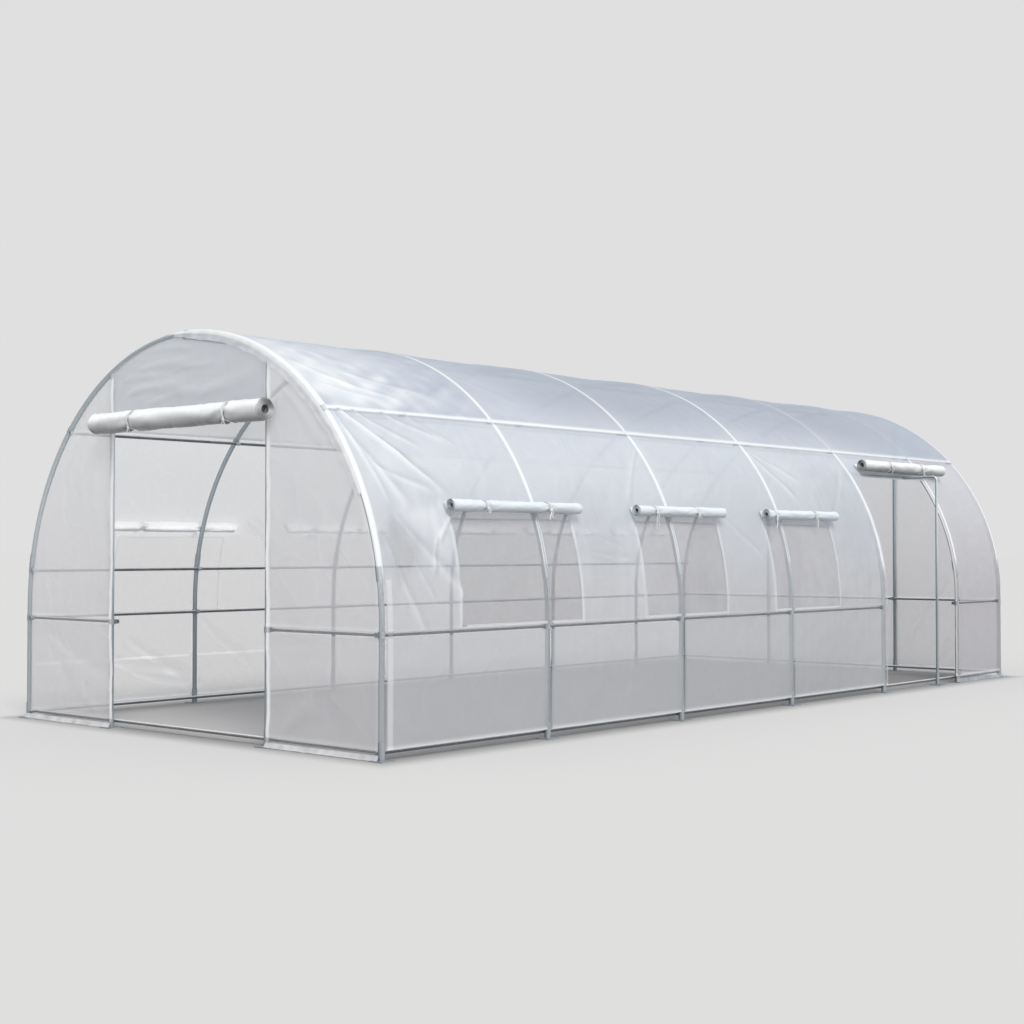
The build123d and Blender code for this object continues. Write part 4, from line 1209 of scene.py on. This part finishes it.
# Straps: narrow white ribbons sewn to the wall, tied round each roll with a knot on its lower
# outer side and two loose tails.
STRAP_WIDTH, TAIL_WIDTH = 0.021, 0.008
KNOT_TURN = math.radians(-48.0)  # round the roll from straight outwards


def webbing(name):
    """Woven ribbon: a fine twill in its relief and colour, a little soiled."""
    made, tree, out = new_material(name)
    coords = add_node(tree, "TexCoord").outputs
    wave = add_node(
        tree, "TexWave", {"Vector": coords["UV"], "Scale": 160.0}, bands_direction="DIAGONAL"
    )
    weave = wave.outputs["Fac"]
    soil = noise(tree, coords["Object"], 30.0, 5.0)
    soiled = range_node(tree, soil, 0.35, 0.65)
    colour = mix_colours(tree, soiled, (0.72, 0.74, 0.76, 1.0), (0.90, 0.91, 0.92, 1.0))
    colour = darkened(tree, colour, range_node(tree, weave, 0.0, 1.0, 0.88, 1.0))
    bump = bumped(tree, weave, 0.5, 0.0006)
    rough = math_node(tree, "MULTIPLY_ADD", soil, 0.2, 0.6)
    tree.links.new(coated(tree, colour, rough, bump), out)
    return made


def strap(start, end, out, up, radius, place, tail, seed):
    """A ribbon round a roll, its knot and its two tails. The loop's radius is a little more
    than the pinched roll's, and the tails hang straight down with a slight twist. The second
    result is the ribbon's whole length."""
    start, end, out, up = (np.asarray(p, float) for p in (start, end, out, up))
    axis = (end - start) / np.linalg.norm(end - start)
    middle = start + axis * place
    a, t = np.meshgrid(np.linspace(0, 2 * math.pi, 49), np.linspace(-0.5, 0.5, 5), indexing="ij")
    r = radius * (0.80 + 0.02 * np.cos(3 * a + seed)) + 0.001 - 0.002 * (2 * t) ** 2
    across = STRAP_WIDTH * t * (1 - 0.25 * bell(a - 5.3, 0.7)) + 0.002 * np.sin(2 * a + seed)
    points = placed(middle, (axis, across), (out, r * np.cos(a)), (up, r * np.sin(a)))
    loop = grid(points, np.stack([across, a * radius], axis=-1))
    knot_out = out * math.cos(KNOT_TURN) + up * math.sin(KNOT_TURN)
    knot = middle + knot_out * (radius * 0.82 + 0.004)
    p, q = np.meshgrid(np.linspace(0, math.pi, 9), np.linspace(0, 2 * math.pi, 17), indexing="ij")
    lump = 1 + 0.22 * np.sin(3 * q + seed) * np.sin(p) + 0.12 * np.cos(5 * p + seed)
    side = np.cross(axis, knot_out)
    round_p = lump * np.sin(p)
    points = placed(
        knot, (axis, 0.011 * lump * np.cos(p)), (knot_out, 0.0065 * round_p * np.cos(q)),
        (side, 0.009 * round_p * np.sin(q)),
    )
    patches = [loop, grid(points, np.stack([p * 0.01, q * 0.01], axis=-1))]
    for turn, length in ((-1, tail), (1, tail * 0.8)):
        t, w = np.meshgrid(np.linspace(0, 1, 13), np.linspace(-0.5, 0.5, 3), indexing="ij")
        twist = 0.9 * math.sin(seed * 2.3 + turn) * t
        along = turn * (0.004 + 0.010 * t) + 0.004 * np.sin(5 * t + seed) + TAIL_WIDTH * w * np.cos(twist)
        forth = 0.004 + 0.003 * np.sin(4 * t + turn) + TAIL_WIDTH * w * np.sin(twist)
        down = np.array((0, 0, -1.0))
        points = placed(knot, (axis, along), (knot_out, forth * (1 - 0.4 * t)), (down, length * t))
        patches.append(grid(points, np.stack([w * TAIL_WIDTH, t * length], axis=-1)))
    return patches, 2 * math.pi * 0.82 * radius + 0.8 * tail


ribbon = webbing("strap_ribbon")
for kind, rests in (
    ("door", ["rolled_front_door", "rolled_side_door"]),
    ("window", ["rolled_right_windows", "rolled_left_windows"]),
):
    patches, total = [], 0.0
    for k, place in enumerate(straps[kind]):
        made, length = strap(*place, k)
        patches += made
        total += length
    tied = make_piece(kind + "_roll_straps", ribbon, patches)
    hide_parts(kind + "_roll_ties")
